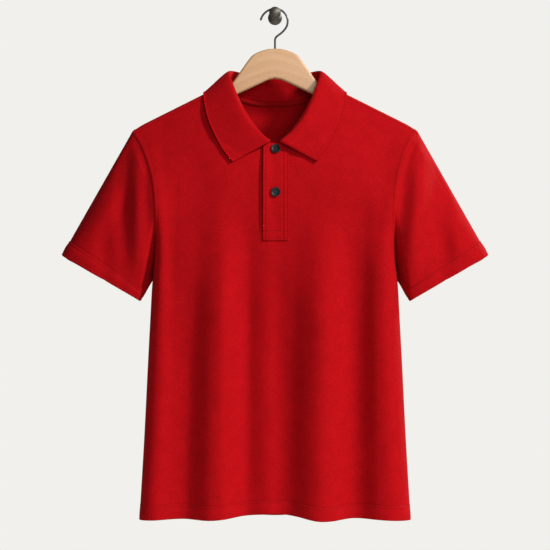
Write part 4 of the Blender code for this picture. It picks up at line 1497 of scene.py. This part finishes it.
@dataclass
class Collar:
    """The flat-knitted collar, stand and fall in one, sewn round the neck."""

    flat: tuple[float, float] = (0.42, 0.105)
    half_count: int = 90
    stand_count: int = 18
    fall_count: int = 52
    welt_in: float = 0.0012
    welt_half: float = 0.0011
    welt_height: float = 0.0007

    def neck_seam(self, share: Array, sign: Array) -> Array:
        """Points of the collar's seam, from the centre back over the shoulder to the front.

        Args:
            share: 0 at the centre back and 1 at the centre front.
            sign: 1 on the wearer's left and -1 on the right.

        Returns:
            The points.
        """
        made = []
        behind = share <= HIGH_POINT_SHARE
        at_back = np.clip(share / HIGH_POINT_SHARE, 0, 1)
        at_front = np.clip((1 - share) / (1 - HIGH_POINT_SHARE), 0, 1)
        for wall, at in ((BACK, at_back), (FRONT, at_front)):
            x, z = along(wall.neck(), at)
            before = along(wall.neck(), np.maximum(at - 0.02, 0))
            after = along(wall.neck(), np.minimum(at + 0.02, 1))
            edge = wall.point(sign * x, z, -CLOTH / 2)
            edge[..., 1] = wall.toward * np.maximum(wall.toward * edge[..., 1], 0)
            into = np.stack((-sign * (after[1] - before[1]), 0 * x, after[0] - before[0]), -1)
            into /= np.linalg.norm(into, axis=-1, keepdims=True)
            made.append(edge + into * (COLLAR_CLOTH + NECK_SEAM_GAP))
        return np.where(behind[..., None], made[0], made[1])

    def grid(self) -> Array:
        """The collar's outer face: one row for each station, from the seam to the outer edge.

        Returns:
            The points, as (stations, columns, 3).
        """
        stations = np.arange(-self.half_count, self.half_count + 1) / self.half_count
        sign = np.where(stations < 0, -1.0, 1.0)
        share = np.abs(stations)
        seam = self.neck_seam(share * COLLAR_END_SHARE, sign)
        fold = np.stack([column(COLLAR, k, share) for k in (1, 2, 3)], -1)
        edge = np.stack([column(COLLAR, k, share) for k in (4, 5, 6)], -1)
        fold[:, 0] *= sign
        edge[:, 0] *= sign
        lift, roll = column(COLLAR, 7, share), column(COLLAR, 8, share)
        level = fold * (1, 1, 0)
        outwards = level / np.linalg.norm(level, axis=-1, keepdims=True) * roll[:, None]
        height = np.linalg.norm(fold - seam, axis=-1)
        rise = seam + np.stack((0 * height, 0 * height, height * STAND_BULGE), -1)
        lie = edge + (fold - edge) * FALL_STRAIGHT
        t = np.arange(self.stand_count) / self.stand_count
        stand = bezier(seam, rise, fold - outwards, fold, t)
        t = 1 - (1 - np.arange(self.fall_count + 1) / self.fall_count) ** 1.5
        fall = bezier(fold, fold + outwards, lie, edge, t)
        clearance = COLLAR_CLOTH + LAYER_GAP + lift[:, None] * t
        toward = np.where(fall[..., 1] > 0, 1, -1)
        least = clear_depth(fall[..., 0], fall[..., 2], clearance, toward)
        fall[..., 1] = toward * np.maximum(np.abs(fall[..., 1]), least)
        return np.concatenate((stand, fall), axis=1)

    def build(self, finish: bpy.types.Material) -> bpy.types.Object:
        """Make the collar.

        Args:
            finish: The rib knit.

        Returns:
            The collar as a piece.
        """
        cloth = Cloth(self.grid(), COLLAR_CLOTH)
        from_edge = np.linalg.norm(cloth.rows - cloth.rows[:, -1:], axis=-1)
        off_welt = (from_edge - self.welt_in) / self.welt_half
        welt = self.welt_height * np.exp(-(off_welt**2))
        cloth.rows = cloth.rows + cloth.normals() * welt[..., None]
        piece = dress("collar_cloth", cloth.mesh("collar"), finish, "red_rib", "collar")
        return piece


def bezier(a: Array, b: Array, c: Array, d: Array, t: Array) -> Array:
    """Points on cubic curves, one row for each curve and one column for each t.

    Args:
        a: Where each curve starts.
        b: What it first heads for.
        c: What it last comes from.
        d: Where it ends.
        t: Shares along, 0 to 1.

    Returns:
        The points.
    """
    a, b, c, d = (p[:, None, :] for p in (a, b, c, d))
    t = t[None, :, None]
    s = 1 - t
    return a * s**3 + b * 3 * s * s * t + c * 3 * s * t * t + d * t**3


@dataclass
class Placket:
    """The buttonhole band on the front, the button band under it and their stitching."""

    across: int = 72
    down: int = 190
    edge_lift: float = 0.0028
    dent_depth: float = 0.0006
    dent_half: float = 0.0010
    thread_sink: float = 0.0003

    def lift(self, x: Array, z: Array) -> Array:
        """How far the band's free edge stands off the front.

        Args:
            x: Places across.
            z: Heights.

        Returns:
            The distances.
        """
        free = smooth((0.002 - x) / (0.002 - BAND_RIGHT_X))
        top, low = FRONT_NECKLINE[0][1], BAND_BOTTOM_Z + 0.013
        share = np.clip((z - low) / (top - low), 0, 1)
        return self.edge_lift * free**1.5 * np.sin(math.pi * np.minimum(share * 0.9, 1)) ** 0.5

    def top_point(self, x: Array, z: Array, out: Array | float = 0.0) -> Array:
        """Points of the buttonhole band's face."""
        return FRONT.point(x, z, LAYER_GAP + BAND_CLOTH + self.lift(x, z) + out)

    def dents(self, x: Array, z: Array) -> Array:
        """How deep the sewing draws the band in along its edges and at its foot.

        Args:
            x: Places across.
            z: Heights.

        Returns:
            The depths.
        """
        sewn = sum(np.exp(-(((x - at) / self.dent_half) ** 2)) for at in self.sewn_x())
        above = smooth((z - self.sewn_z()[0]) / 0.002)
        foot = sum(np.exp(-(((z - at) / self.dent_half) ** 2)) for at in self.sewn_z())
        return self.dent_depth * np.minimum(sewn * np.maximum(above, 0.6) + foot, 1)

    @staticmethod
    def sewn_x() -> tuple[float, float, float]:
        """The band's sewn lines: near the free edge, and two by the sewn edge."""
        return (BAND_RIGHT_X + 0.0030, BAND_LEFT_X - 0.0085, BAND_LEFT_X - 0.0022)

    @staticmethod
    def sewn_z() -> tuple[float, float]:
        """The box's two level lines at the foot."""
        return (BAND_BOTTOM_Z + 0.0020, BAND_BOTTOM_Z + 0.0135)

    def build(self, finish: bpy.types.Material) -> list[bpy.types.Object]:
        """Make both bands.

        Args:
            finish: The knit.

        Returns:
            The two bands as pieces.
        """
        x = BAND_RIGHT_X + (BAND_LEFT_X - BAND_RIGHT_X) * np.arange(self.across + 1) / self.across
        top = along_neckline(x)
        share = np.arange(self.down + 1)[:, None] / self.down
        z = top[None, :] + (BAND_BOTTOM_Z - top[None, :]) * share
        across = np.broadcast_to(x[None, :], z.shape)
        rows = self.top_point(across, z, -self.dents(across, z))
        upper = dress("buttonhole_band", Cloth(rows, BAND_CLOTH).mesh("placket_top"), finish,
                      "red_pique", "placket_top")
        end = SLIT_SHARE - 0.003
        half = SLIT_HALF_SHARE - UNDER_BAND_CLEARANCE
        down = end * np.arange(61) / 60
        across = half * np.arange(-6, 7) / 6
        rows = FRONT.point(*FRONT.place(across[None, :], down[:, None]))
        under = dress("button_band", Cloth(rows, CLOTH).mesh("placket_under"), finish,
                      "red_pique", "placket_under")
        return [upper, under]

    def stitch_lines(self) -> list[Array]:
        """The sewn edge, the free edge and the box at the foot.

        Returns:
            Each line's points.
        """
        lines = []
        for x in self.sewn_x():
            z = np.linspace(float(along_neckline(np.array(x))) - 0.004, self.sewn_z()[0], 80)
            lines.append(self.top_point(np.full_like(z, x), z, -self.thread_sink))
        for z in self.sewn_z():
            x = np.linspace(self.sewn_x()[0], self.sewn_x()[-1], 20)
            lines.append(self.top_point(x, np.full_like(x, z), -self.thread_sink))
        return lines


def along_neckline(x: Array) -> Array:
    """The front neckline's height at places across."""
    return column(FRONT_NECKLINE, 1, np.abs(x))


@dataclass
class NeckTape:
    """The narrow tape over the back neck seam, inside."""

    across: int = 60
    down: int = 6

    def build(self, finish: bpy.types.Material) -> bpy.types.Object:
        """Make the tape.

        Args:
            finish: The tape's knit.

        Returns:
            The tape as a piece.
        """
        x = TAPE_HALF_WIDTH * (2 * np.arange(self.across + 1) / self.across - 1)
        top = column(BACK.neck(), 1, np.abs(x))[None, :]
        z = top + TAPE_ABOVE_SEAM - TAPE_DEPTH * np.arange(self.down + 1)[:, None] / self.down
        on_wall = np.minimum(z, top - 0.0005)
        inside = -CLOTH - TAPE_CLOTH - SEAM_GAP
        rows = BACK.point(np.broadcast_to(x[None, :], z.shape), on_wall, inside)
        rows[..., 2] += z - on_wall
        piece = dress("neck_tape_cloth", Cloth(rows[:, ::-1], TAPE_CLOTH).mesh("neck_tape"), finish,
                      "red_rib", "neck_tape")
        return piece


# ---------------------------------------------------------------- hard pieces


def ring_angles(count: int) -> list[float]:
    """Even angles of one full turn."""
    return [2 * math.pi * k / count for k in range(count)]


def lathe(profile: Array, steps: int) -> bpy.types.Mesh:
    """Turn a profile about +Z.

    Args:
        profile: Rows of radius and height, which run down the outer side and start and end at 0.
        steps: How many sides.

    Returns:
        A closed mesh.
    """
    shape = bmesh.new()
    rings = []
    for radius, height in profile:
        angles = ring_angles(steps)[: 1 if radius < 1e-6 else steps]
        places = [(radius * math.cos(a), radius * math.sin(a), height) for a in angles]
        rings.append([shape.verts.new(place) for place in places])
    for upper, lower in zip(rings, rings[1:]):
        for k in range(steps):
            corners = [upper[k % len(upper)], lower[k % len(lower)]]
            corners += [lower[(k + 1) % len(lower)], upper[(k + 1) % len(upper)]]
            shape.faces.new(list(dict.fromkeys(corners)))
    return mesh_of(shape, "turned")


def tube(points: Array, radius: float, sides: int) -> bpy.types.Mesh:
    """A round wire along points, with domed ends.

    Args:
        points: The wire's centreline.
        radius: Its radius.
        sides: How many sides.

    Returns:
        A closed mesh.
    """
    line = [Vector(p) for p in points]
    first, last = (line[0] - line[1]).normalized(), (line[-1] - line[-2]).normalized()
    dome = [(0.0, 1.0), (0.45, 0.893), (0.8, 0.6), (0.97, 0.24)]
    stations = [(line[0] + first * radius * out, radius * wide) for out, wide in reversed(dome)]
    stations += [(p, radius) for p in line[1:-1]]
    stations += [(line[-1] + last * radius * out, radius * wide) for out, wide in dome]
    shape = bmesh.new()
    rings = []
    side = first.orthogonal()
    for k, (place, wide) in enumerate(stations):
        after, before = stations[min(k + 1, len(stations) - 1)][0], stations[max(k - 1, 0)][0]
        heading = (after - before).normalized()
        side = (side - heading * side.dot(heading)).normalized()
        other = heading.cross(side)
        outwards = [side * math.cos(a) + other * math.sin(a) for a in ring_angles(sides)]
        rings.append([shape.verts.new(place + way * wide) for way in outwards])
    for a, b in zip(rings, rings[1:]):
        for n in range(sides):
            shape.faces.new((a[n], a[(n + 1) % sides], b[(n + 1) % sides], b[n]))
    for ring, out, turned in ((rings[0], first, True), (rings[-1], last, False)):
        tip = shape.verts.new(sum((v.co for v in ring), Vector()) / sides + out * radius * 0.03)
        for n in range(sides):
            pair = (ring[n], ring[(n + 1) % sides])
            shape.faces.new((tip, *(pair[::-1] if turned else pair)))
    mesh = mesh_of(shape, "wire")
    mesh.shade_smooth()
    return mesh


@dataclass(frozen=True)
class Button:
    """A four-hole resin button with a raised rim, sewn on with crossed thread."""

    name: str
    height: float
    hole_radius: float = 0.0009
    hole_from_centre: float = 0.0021
    steps: int = 48
    thread_radius: float = 0.00042
    profile: tuple[tuple[float, float], ...] = (
        (0.0, 0.00165),
        (0.0030, 0.00165),
        (0.0044, 0.00180),
        (0.0051, 0.00225),
        (0.0057, 0.00290),
        (0.0063, 0.00318),
        (0.0069, 0.00312),
        (0.0073, 0.00270),
        (BUTTON_RADIUS, 0.00210),
        (0.0074, 0.00130),
        (0.0070, 0.00060),
        (0.0060, 0.00010),
        (0.0058, 0.0),
        (0.0, 0.0),
    )

    def seat(self) -> tuple[Vector, float]:
        """Where the button lies on the band, and how far it leans back.

        Returns:
            The place of the button's back, and the lean in radians.
        """
        at = np.array((self.height, self.height - BUTTON_RADIUS, self.height + BUTTON_RADIUS))
        face = FRONT.point(np.full(3, BUTTON_X), at, LAYER_GAP + BAND_CLOTH + LAYER_GAP)
        lean = math.atan2(face[2, 1] - face[1, 1], face[2, 2] - face[1, 2])
        return Vector(face[0] + HUNG_AT), lean

    def placed(self, mesh: bpy.types.Mesh) -> bpy.types.Mesh:
        """Turn a mesh made about +Z to face the front and lie on the band.

        Args:
            mesh: The mesh.

        Returns:
            The same mesh, in place.
        """
        place, lean = self.seat()
        turn = Matrix.Rotation(math.pi / 2 - lean, 4, "X")
        mesh.transform(Matrix.Translation(place) @ turn)
        return mesh

    def holes(self) -> list[tuple[float, float]]:
        """The four holes' places on the button.

        Returns:
            Their x and y.
        """
        angles = [math.pi / 4 + k * math.pi / 2 for k in range(4)]
        reach = self.hole_from_centre
        return [(reach * math.cos(a), reach * math.sin(a)) for a in angles]

    def build(self, resin: bpy.types.Material, thread: bpy.types.Material) -> None:
        """Make the button and its thread.

        Args:
            resin: The button's finish.
            thread: The thread's finish.
        """
        disc = link("disc", lathe(np.array(self.profile), self.steps))
        drills = bmesh.new()
        for x, y in self.holes():
            made = bmesh.ops.create_cone(
                drills, cap_ends=True, segments=14, radius1=self.hole_radius,
                radius2=self.hole_radius, depth=0.01,
            )
            bmesh.ops.translate(drills, verts=made["verts"], vec=(x, y, 0))
        drill = link("drills", mesh_of(drills, "drills"))
        boolean = disc.modifiers.new("holes", "BOOLEAN")
        boolean.operation = "DIFFERENCE"
        boolean.object = drill
        mesh = evaluated_mesh(disc)
        disc.modifiers.clear()
        for spare in (disc, drill):
            bpy.data.objects.remove(spare)
        mesh.shade_smooth()
        mesh.set_sharp_from_angle(angle=math.radians(38))
        dress(self.name + "_resin", self.placed(mesh), resin, "button_resin", self.name)
        self.sew_on(thread)

    def sew_on(self, thread: bpy.types.Material) -> None:
        """Cross the thread over the button from hole to hole.

        Args:
            thread: The thread's finish.
        """
        a, b, c, d = self.holes()
        shape = bmesh.new()
        for start, end, rise in ((a, c, 0.0010), (b, d, 0.0014)):
            for slip in (-0.00028, 0.00028):
                share = np.linspace(0, 1, 11)
                bend = np.sin(math.pi * share)
                across = Vector((-(end[1] - start[1]), end[0] - start[0], 0)).normalized() * slip
                x = start[0] + (end[0] - start[0]) * share + across.x * bend
                y = start[1] + (end[1] - start[1]) * share + across.y * bend
                z = 0.0008 + rise * np.minimum(bend * 1.7, 1) ** 0.7
                strand = tube(np.stack((x, y, z), -1), self.thread_radius, 8)
                shape.from_mesh(strand)
        mesh = mesh_of(shape, "button_thread")
        mesh.shade_smooth()
        dress(self.name + "_thread", self.placed(mesh), thread, "button_resin")


@dataclass(frozen=True)
class Hanger:
    """A flat beech board with rounded edges, cut like a low arch, and its blackened wire hook."""

    thickness: float = 0.0100
    half_length: float = 0.190
    nose: float = 0.005
    edge: float = 0.0040
    under_cloth: float = 0.0024
    arm_slope: float = 0.466
    apex_z: float = 0.0100
    apex_fill: float = 0.0030
    wire_radius: float = 0.0016
    hook_radius: float = 0.0200
    socket_depth: float = 0.014
    peg_neck_radius: float = 0.0058
    peg_clearance: float = 0.0003
    top: tuple[tuple[float, float], ...] = (
        (0.000, 0.0545),
        (0.010, 0.0540),
        (0.020, 0.0515),
        (0.029, 0.0480),
        (0.0355, 0.0440),
        (0.0405, 0.0385),
        (0.0520, 0.0225),
        (0.0620, 0.0080),
        (0.0675, 0.0005),
        (0.0730, -0.0068),
    )

    def outline(self) -> Array:
        """The board's edge as (x, z) points, anticlockwise from the tip of the +X arm.

        Returns:
            The points.
        """
        x = np.linspace(0, self.top[-1][0], 46)
        upper = np.stack((x, column(self.top, 1, x)), -1)
        x = np.linspace(NECK_HALF_WIDTH, self.half_length, 24)
        upper = np.concatenate((upper, np.stack((x, shoulder_z(x) - CLOTH - self.under_cloth), -1)))
        x = np.linspace(0, self.half_length, 40)
        fill = self.apex_fill * np.exp(-((x / 0.006) ** 2))
        lower = np.stack((x, self.apex_z - self.arm_slope * x - fill), -1)
        middle, reach = (upper[-1, 1] + lower[-1, 1]) / 2, (upper[-1, 1] - lower[-1, 1]) / 2
        turn = np.linspace(-math.pi / 2, math.pi / 2, 9)[1:-1]
        nose_x = self.half_length + self.nose * np.cos(turn)
        nose = np.stack((nose_x, middle + reach * np.sin(turn)), -1)
        right = np.concatenate((lower[1:], nose, upper[:0:-1]))
        left = right[::-1] * (-1, 1)
        return np.concatenate((right, upper[:1], left, lower[:1]))

    def build_board(self, finish: bpy.types.Material) -> None:
        """Make the board.

        Args:
            finish: The wood.
        """
        curve = bpy.data.curves.new("board", "CURVE")
        line = curve.splines.new("POLY")
        points = self.outline()
        line.points.add(len(points) - 1)
        for made, (x, z) in zip(line.points, points):
            made.co = (x, z, 0, 1)
        line.use_cyclic_u = True
        curve.dimensions = "2D"
        curve.fill_mode = "BOTH"
        curve.extrude = self.thickness / 2 - self.edge
        curve.bevel_depth = self.edge
        curve.bevel_resolution = 6
        curve.offset = -self.edge
        board = link("board", curve)
        mesh = evaluated_mesh(board)
        bpy.data.objects.remove(board)
        shape = bmesh.new()
        shape.from_mesh(mesh)
        bmesh.ops.remove_doubles(shape, verts=shape.verts, dist=0.00002)
        bmesh.ops.recalc_face_normals(shape, faces=shape.faces)
        shape.to_mesh(mesh)
        shape.free()
        mesh.transform(Matrix.Translation(Vector(HUNG_AT)) @ Matrix.Rotation(math.pi / 2, 4, "X"))
        mesh.shade_smooth()
        mesh.set_sharp_from_angle(angle=math.radians(50))
        dress("hanger_board", mesh, finish, "beech", "hanger_body")

    def build_hook(self, finish: bpy.types.Material) -> None:
        """Make the hook: up from the board, out to one side and over the peg.

        Args:
            finish: The wire's metal.
        """
        rest = self.peg_neck_radius + self.peg_clearance + self.wire_radius
        arc_z = NECK_BELOW_PEG + rest - self.hook_radius
        foot = self.top[0][1] - self.socket_depth + 0.002
        stem_top = self.top[0][1] + 0.013
        start, end = math.radians(-38), math.radians(172)
        angle = np.linspace(start, end, 72)
        open_out = 1 + 0.14 * np.maximum(angle - math.pi / 2, 0) / (math.pi / 2)
        arc = np.stack((self.hook_radius * open_out * np.cos(angle), 0 * angle,
                        arc_z + self.hook_radius * np.sin(angle)), -1)
        stem = np.stack((np.zeros(10), np.zeros(10), np.linspace(foot, stem_top, 10)), -1)
        heading = np.array((-math.sin(start), 0, math.cos(start)))
        corners = (stem[-1], stem[-1] + (0, 0, 0.008), arc[0] - heading * 0.014, arc[0])
        bend = bezier(*(c[None, :] for c in corners), np.linspace(0, 1, 26))[0]
        points = np.concatenate((stem, bend[1:-1], arc)) + HUNG_AT
        wire = tube(points, self.wire_radius, 20)
        dress("hanger_wire", wire, finish, "dark_steel", "hanger_hook")


@dataclass(frozen=True)
class Peg:
    """A cast pewter peg, turned smooth: a domed cap, a neck that the hook sits on, and a foot."""

    steps: int = 64
    profile: tuple[tuple[float, float], ...] = (
        # distance from the wall, radius
        (0.0770, 0.0),
        (0.0769, 0.0018),
        (0.0765, 0.0035),
        (0.0757, 0.0053),
        (0.0745, 0.0068),
        (0.0729, 0.0080),
        (0.0710, 0.0088),
        (0.0685, 0.0092),
        (0.0660, 0.0093),
        (0.0635, 0.0092),
        (0.0615, 0.0088),
        (0.0600, 0.0079),
        (0.0590, 0.0066),
        (0.0585, 0.0058),
        (0.0500, 0.0058),
        (0.0180, 0.0058),
        (0.0160, 0.0061),
        (0.0140, 0.0071),
        (0.0120, 0.0085),
        (0.0100, 0.0098),
        (0.0080, 0.0108),
        (0.0060, 0.0113),
        (0.0040, 0.0114),
        (0.0015, 0.0113),
        (0.0004, 0.0110),
        (0.0000, 0.0104),
        (0.0000, 0.0),
    )

    def build(self, finish: bpy.types.Material) -> None:
        """Make the peg.

        Args:
            finish: The cast metal.
        """
        profile = np.array([(radius, out) for out, radius in self.profile])
        mesh = lathe(profile, self.steps)
        mesh.transform(Matrix.Rotation(math.pi / 2, 4, "X"))
        mesh.shade_smooth()
        mesh.set_sharp_from_angle(angle=math.radians(60))
        dress("turned_peg", mesh, finish, "pewter", "wall_peg")


# ---------------------------------------------------------------- the stage
@dataclass(frozen=True)
class Stage:
    """A pale floor, soft light from the upper right, and a camera level with the shirt."""

    camera_distance: float = 3.0
    camera_z: float = -0.413
    view_height: float = 0.869
    sensor: float = 36.0
    floor_z: float = -1.30
    floor_radius: float = 1.5
    ground: str = "#F1F0EC"
    room_light: float = 0.18

    def build(self) -> None:
        """Make the floor, the lights, the world and the camera."""
        scene = bpy.context.scene
        scene.view_settings.view_transform = "Standard"
        data = bpy.data.cameras.new("camera")
        data.sensor_width = self.sensor
        data.lens = self.sensor * self.camera_distance / self.view_height
        camera = link("camera", data)
        camera.location = (0, -HOOK_FROM_WALL - self.camera_distance, self.camera_z)
        camera.rotation_euler = (math.pi / 2, 0, 0)
        scene.camera = camera
        self.light("key", (5.2, -3.8, 3.4), 1.3, 520.0, "#FFF9F1")
        self.light("fill", (0.7, -3.0, 0.3), 1.2, 27.0, "#F6F8FF")
        self.light("back_key", (3.6, 3.0, 2.0), 0.9, 125.0, "#FFFFFF")
        self.floor()
        self.world()

    def light(self, name: str, place: tuple[float, float, float], size: float, power: float,
              colour: str) -> None:
        """Add a soft light that points at the shirt.

        Args:
            name: The light's name.
            place: Where it stands.
            size: The disc's width.
            power: Its power in watts.
            colour: Its colour, as sRGB hex.
        """
        data = bpy.data.lights.new(name, "AREA")
        data.shape = "DISK"
        data.size = size
        data.energy = power
        data.color = linear(colour)[:3]
        lamp = link(name, data)
        lamp.location = place
        aim = Vector((0, -HOOK_FROM_WALL, self.camera_z)) - Vector(place)
        lamp.rotation_euler = aim.to_track_quat("-Z", "Y").to_euler()

    def floor(self) -> None:
        """Add a round pale floor."""
        shape = bmesh.new()
        bmesh.ops.create_circle(shape, cap_ends=True, segments=96, radius=self.floor_radius)
        mesh = mesh_of(shape, "floor")
        material, tree = empty_material("matt_floor_paint")
        dust = add(tree, "ShaderNodeTexNoise", {
            "Vector": object_place(tree), "Scale": 6.0, "Detail": 4.0,
        })
        surface(tree, blend(tree, dust.outputs[0], "#ECEAE5", self.ground), {"Roughness": 0.8})
        mesh.materials.append(material)
        floor = link("floor", mesh)
        floor.location = (0, 0, self.floor_z)

    def world(self) -> None:
        """Fill the room with an even pale light, weaker than the pale ground that the eye sees."""
        world = bpy.data.worlds.new("studio")
        world.use_nodes = True
        tree = world.node_tree
        tree.nodes.clear()
        seen = add(tree, "ShaderNodeBackground", {0: linear(self.ground), 1: 1.0})
        cast = add(tree, "ShaderNodeBackground", {0: linear(self.ground), 1: self.room_light})
        path = add(tree, "ShaderNodeLightPath")
        mixed = add(tree, "ShaderNodeMixShader", {
            0: path.outputs["Is Camera Ray"], 1: cast.outputs[0], 2: seen.outputs[0],
        })
        add(tree, "ShaderNodeOutputWorld", {0: mixed.outputs[0]})
        bpy.context.scene.world = world


def main() -> None:
    """Build the stage and every piece, in order."""
    logging.basicConfig(level=logging.INFO, format="%(name)s: %(message)s")
    Stage().build()
    finishes = Finishes.make()
    front = BodyPanel("front_panel", FRONT, (0.50, 0.70), 0.29, slit=True)
    back = BodyPanel("back_panel", BACK, (0.50, 0.70), 0.30, 54, 46, 90)
    sleeves = [
        Sleeve("sleeve_left", 1, (0.40, 0.24), 0.055),
        Sleeve("sleeve_right", -1, (0.40, 0.24), 0.055),
    ]
    placket = Placket()
    for part in (front, back, *sleeves):
        part.build(finishes.pique)
    Collar().build(finishes.rib)
    placket.build(finishes.pique)
    NeckTape().build(finishes.tape)
    for name, height in BUTTON_HEIGHTS.items():
        Button(name, height).build(finishes.resin, finishes.dark_thread)
    hanger = Hanger()
    hanger.build_board(finishes.beech)
    hanger.build_hook(finishes.steel)
    Peg().build(finishes.pewter)
    stitcher = Stitcher(finishes.thread)
    stitcher.sew("front_stitches", front.stitch_lines(), Seam.COVER, 1)
    stitcher.sew("back_stitches", back.stitch_lines(), Seam.COVER, 2)
    for seed, sleeve in enumerate(sleeves, 3):
        stitcher.sew(sleeve.name + "_stitches", sleeve.stitch_lines(), Seam.COVER, seed)
    stitcher.sew("placket_stitches", placket.stitch_lines(), Seam.LOCK, 5)


if __name__ == "__main__":
    main()
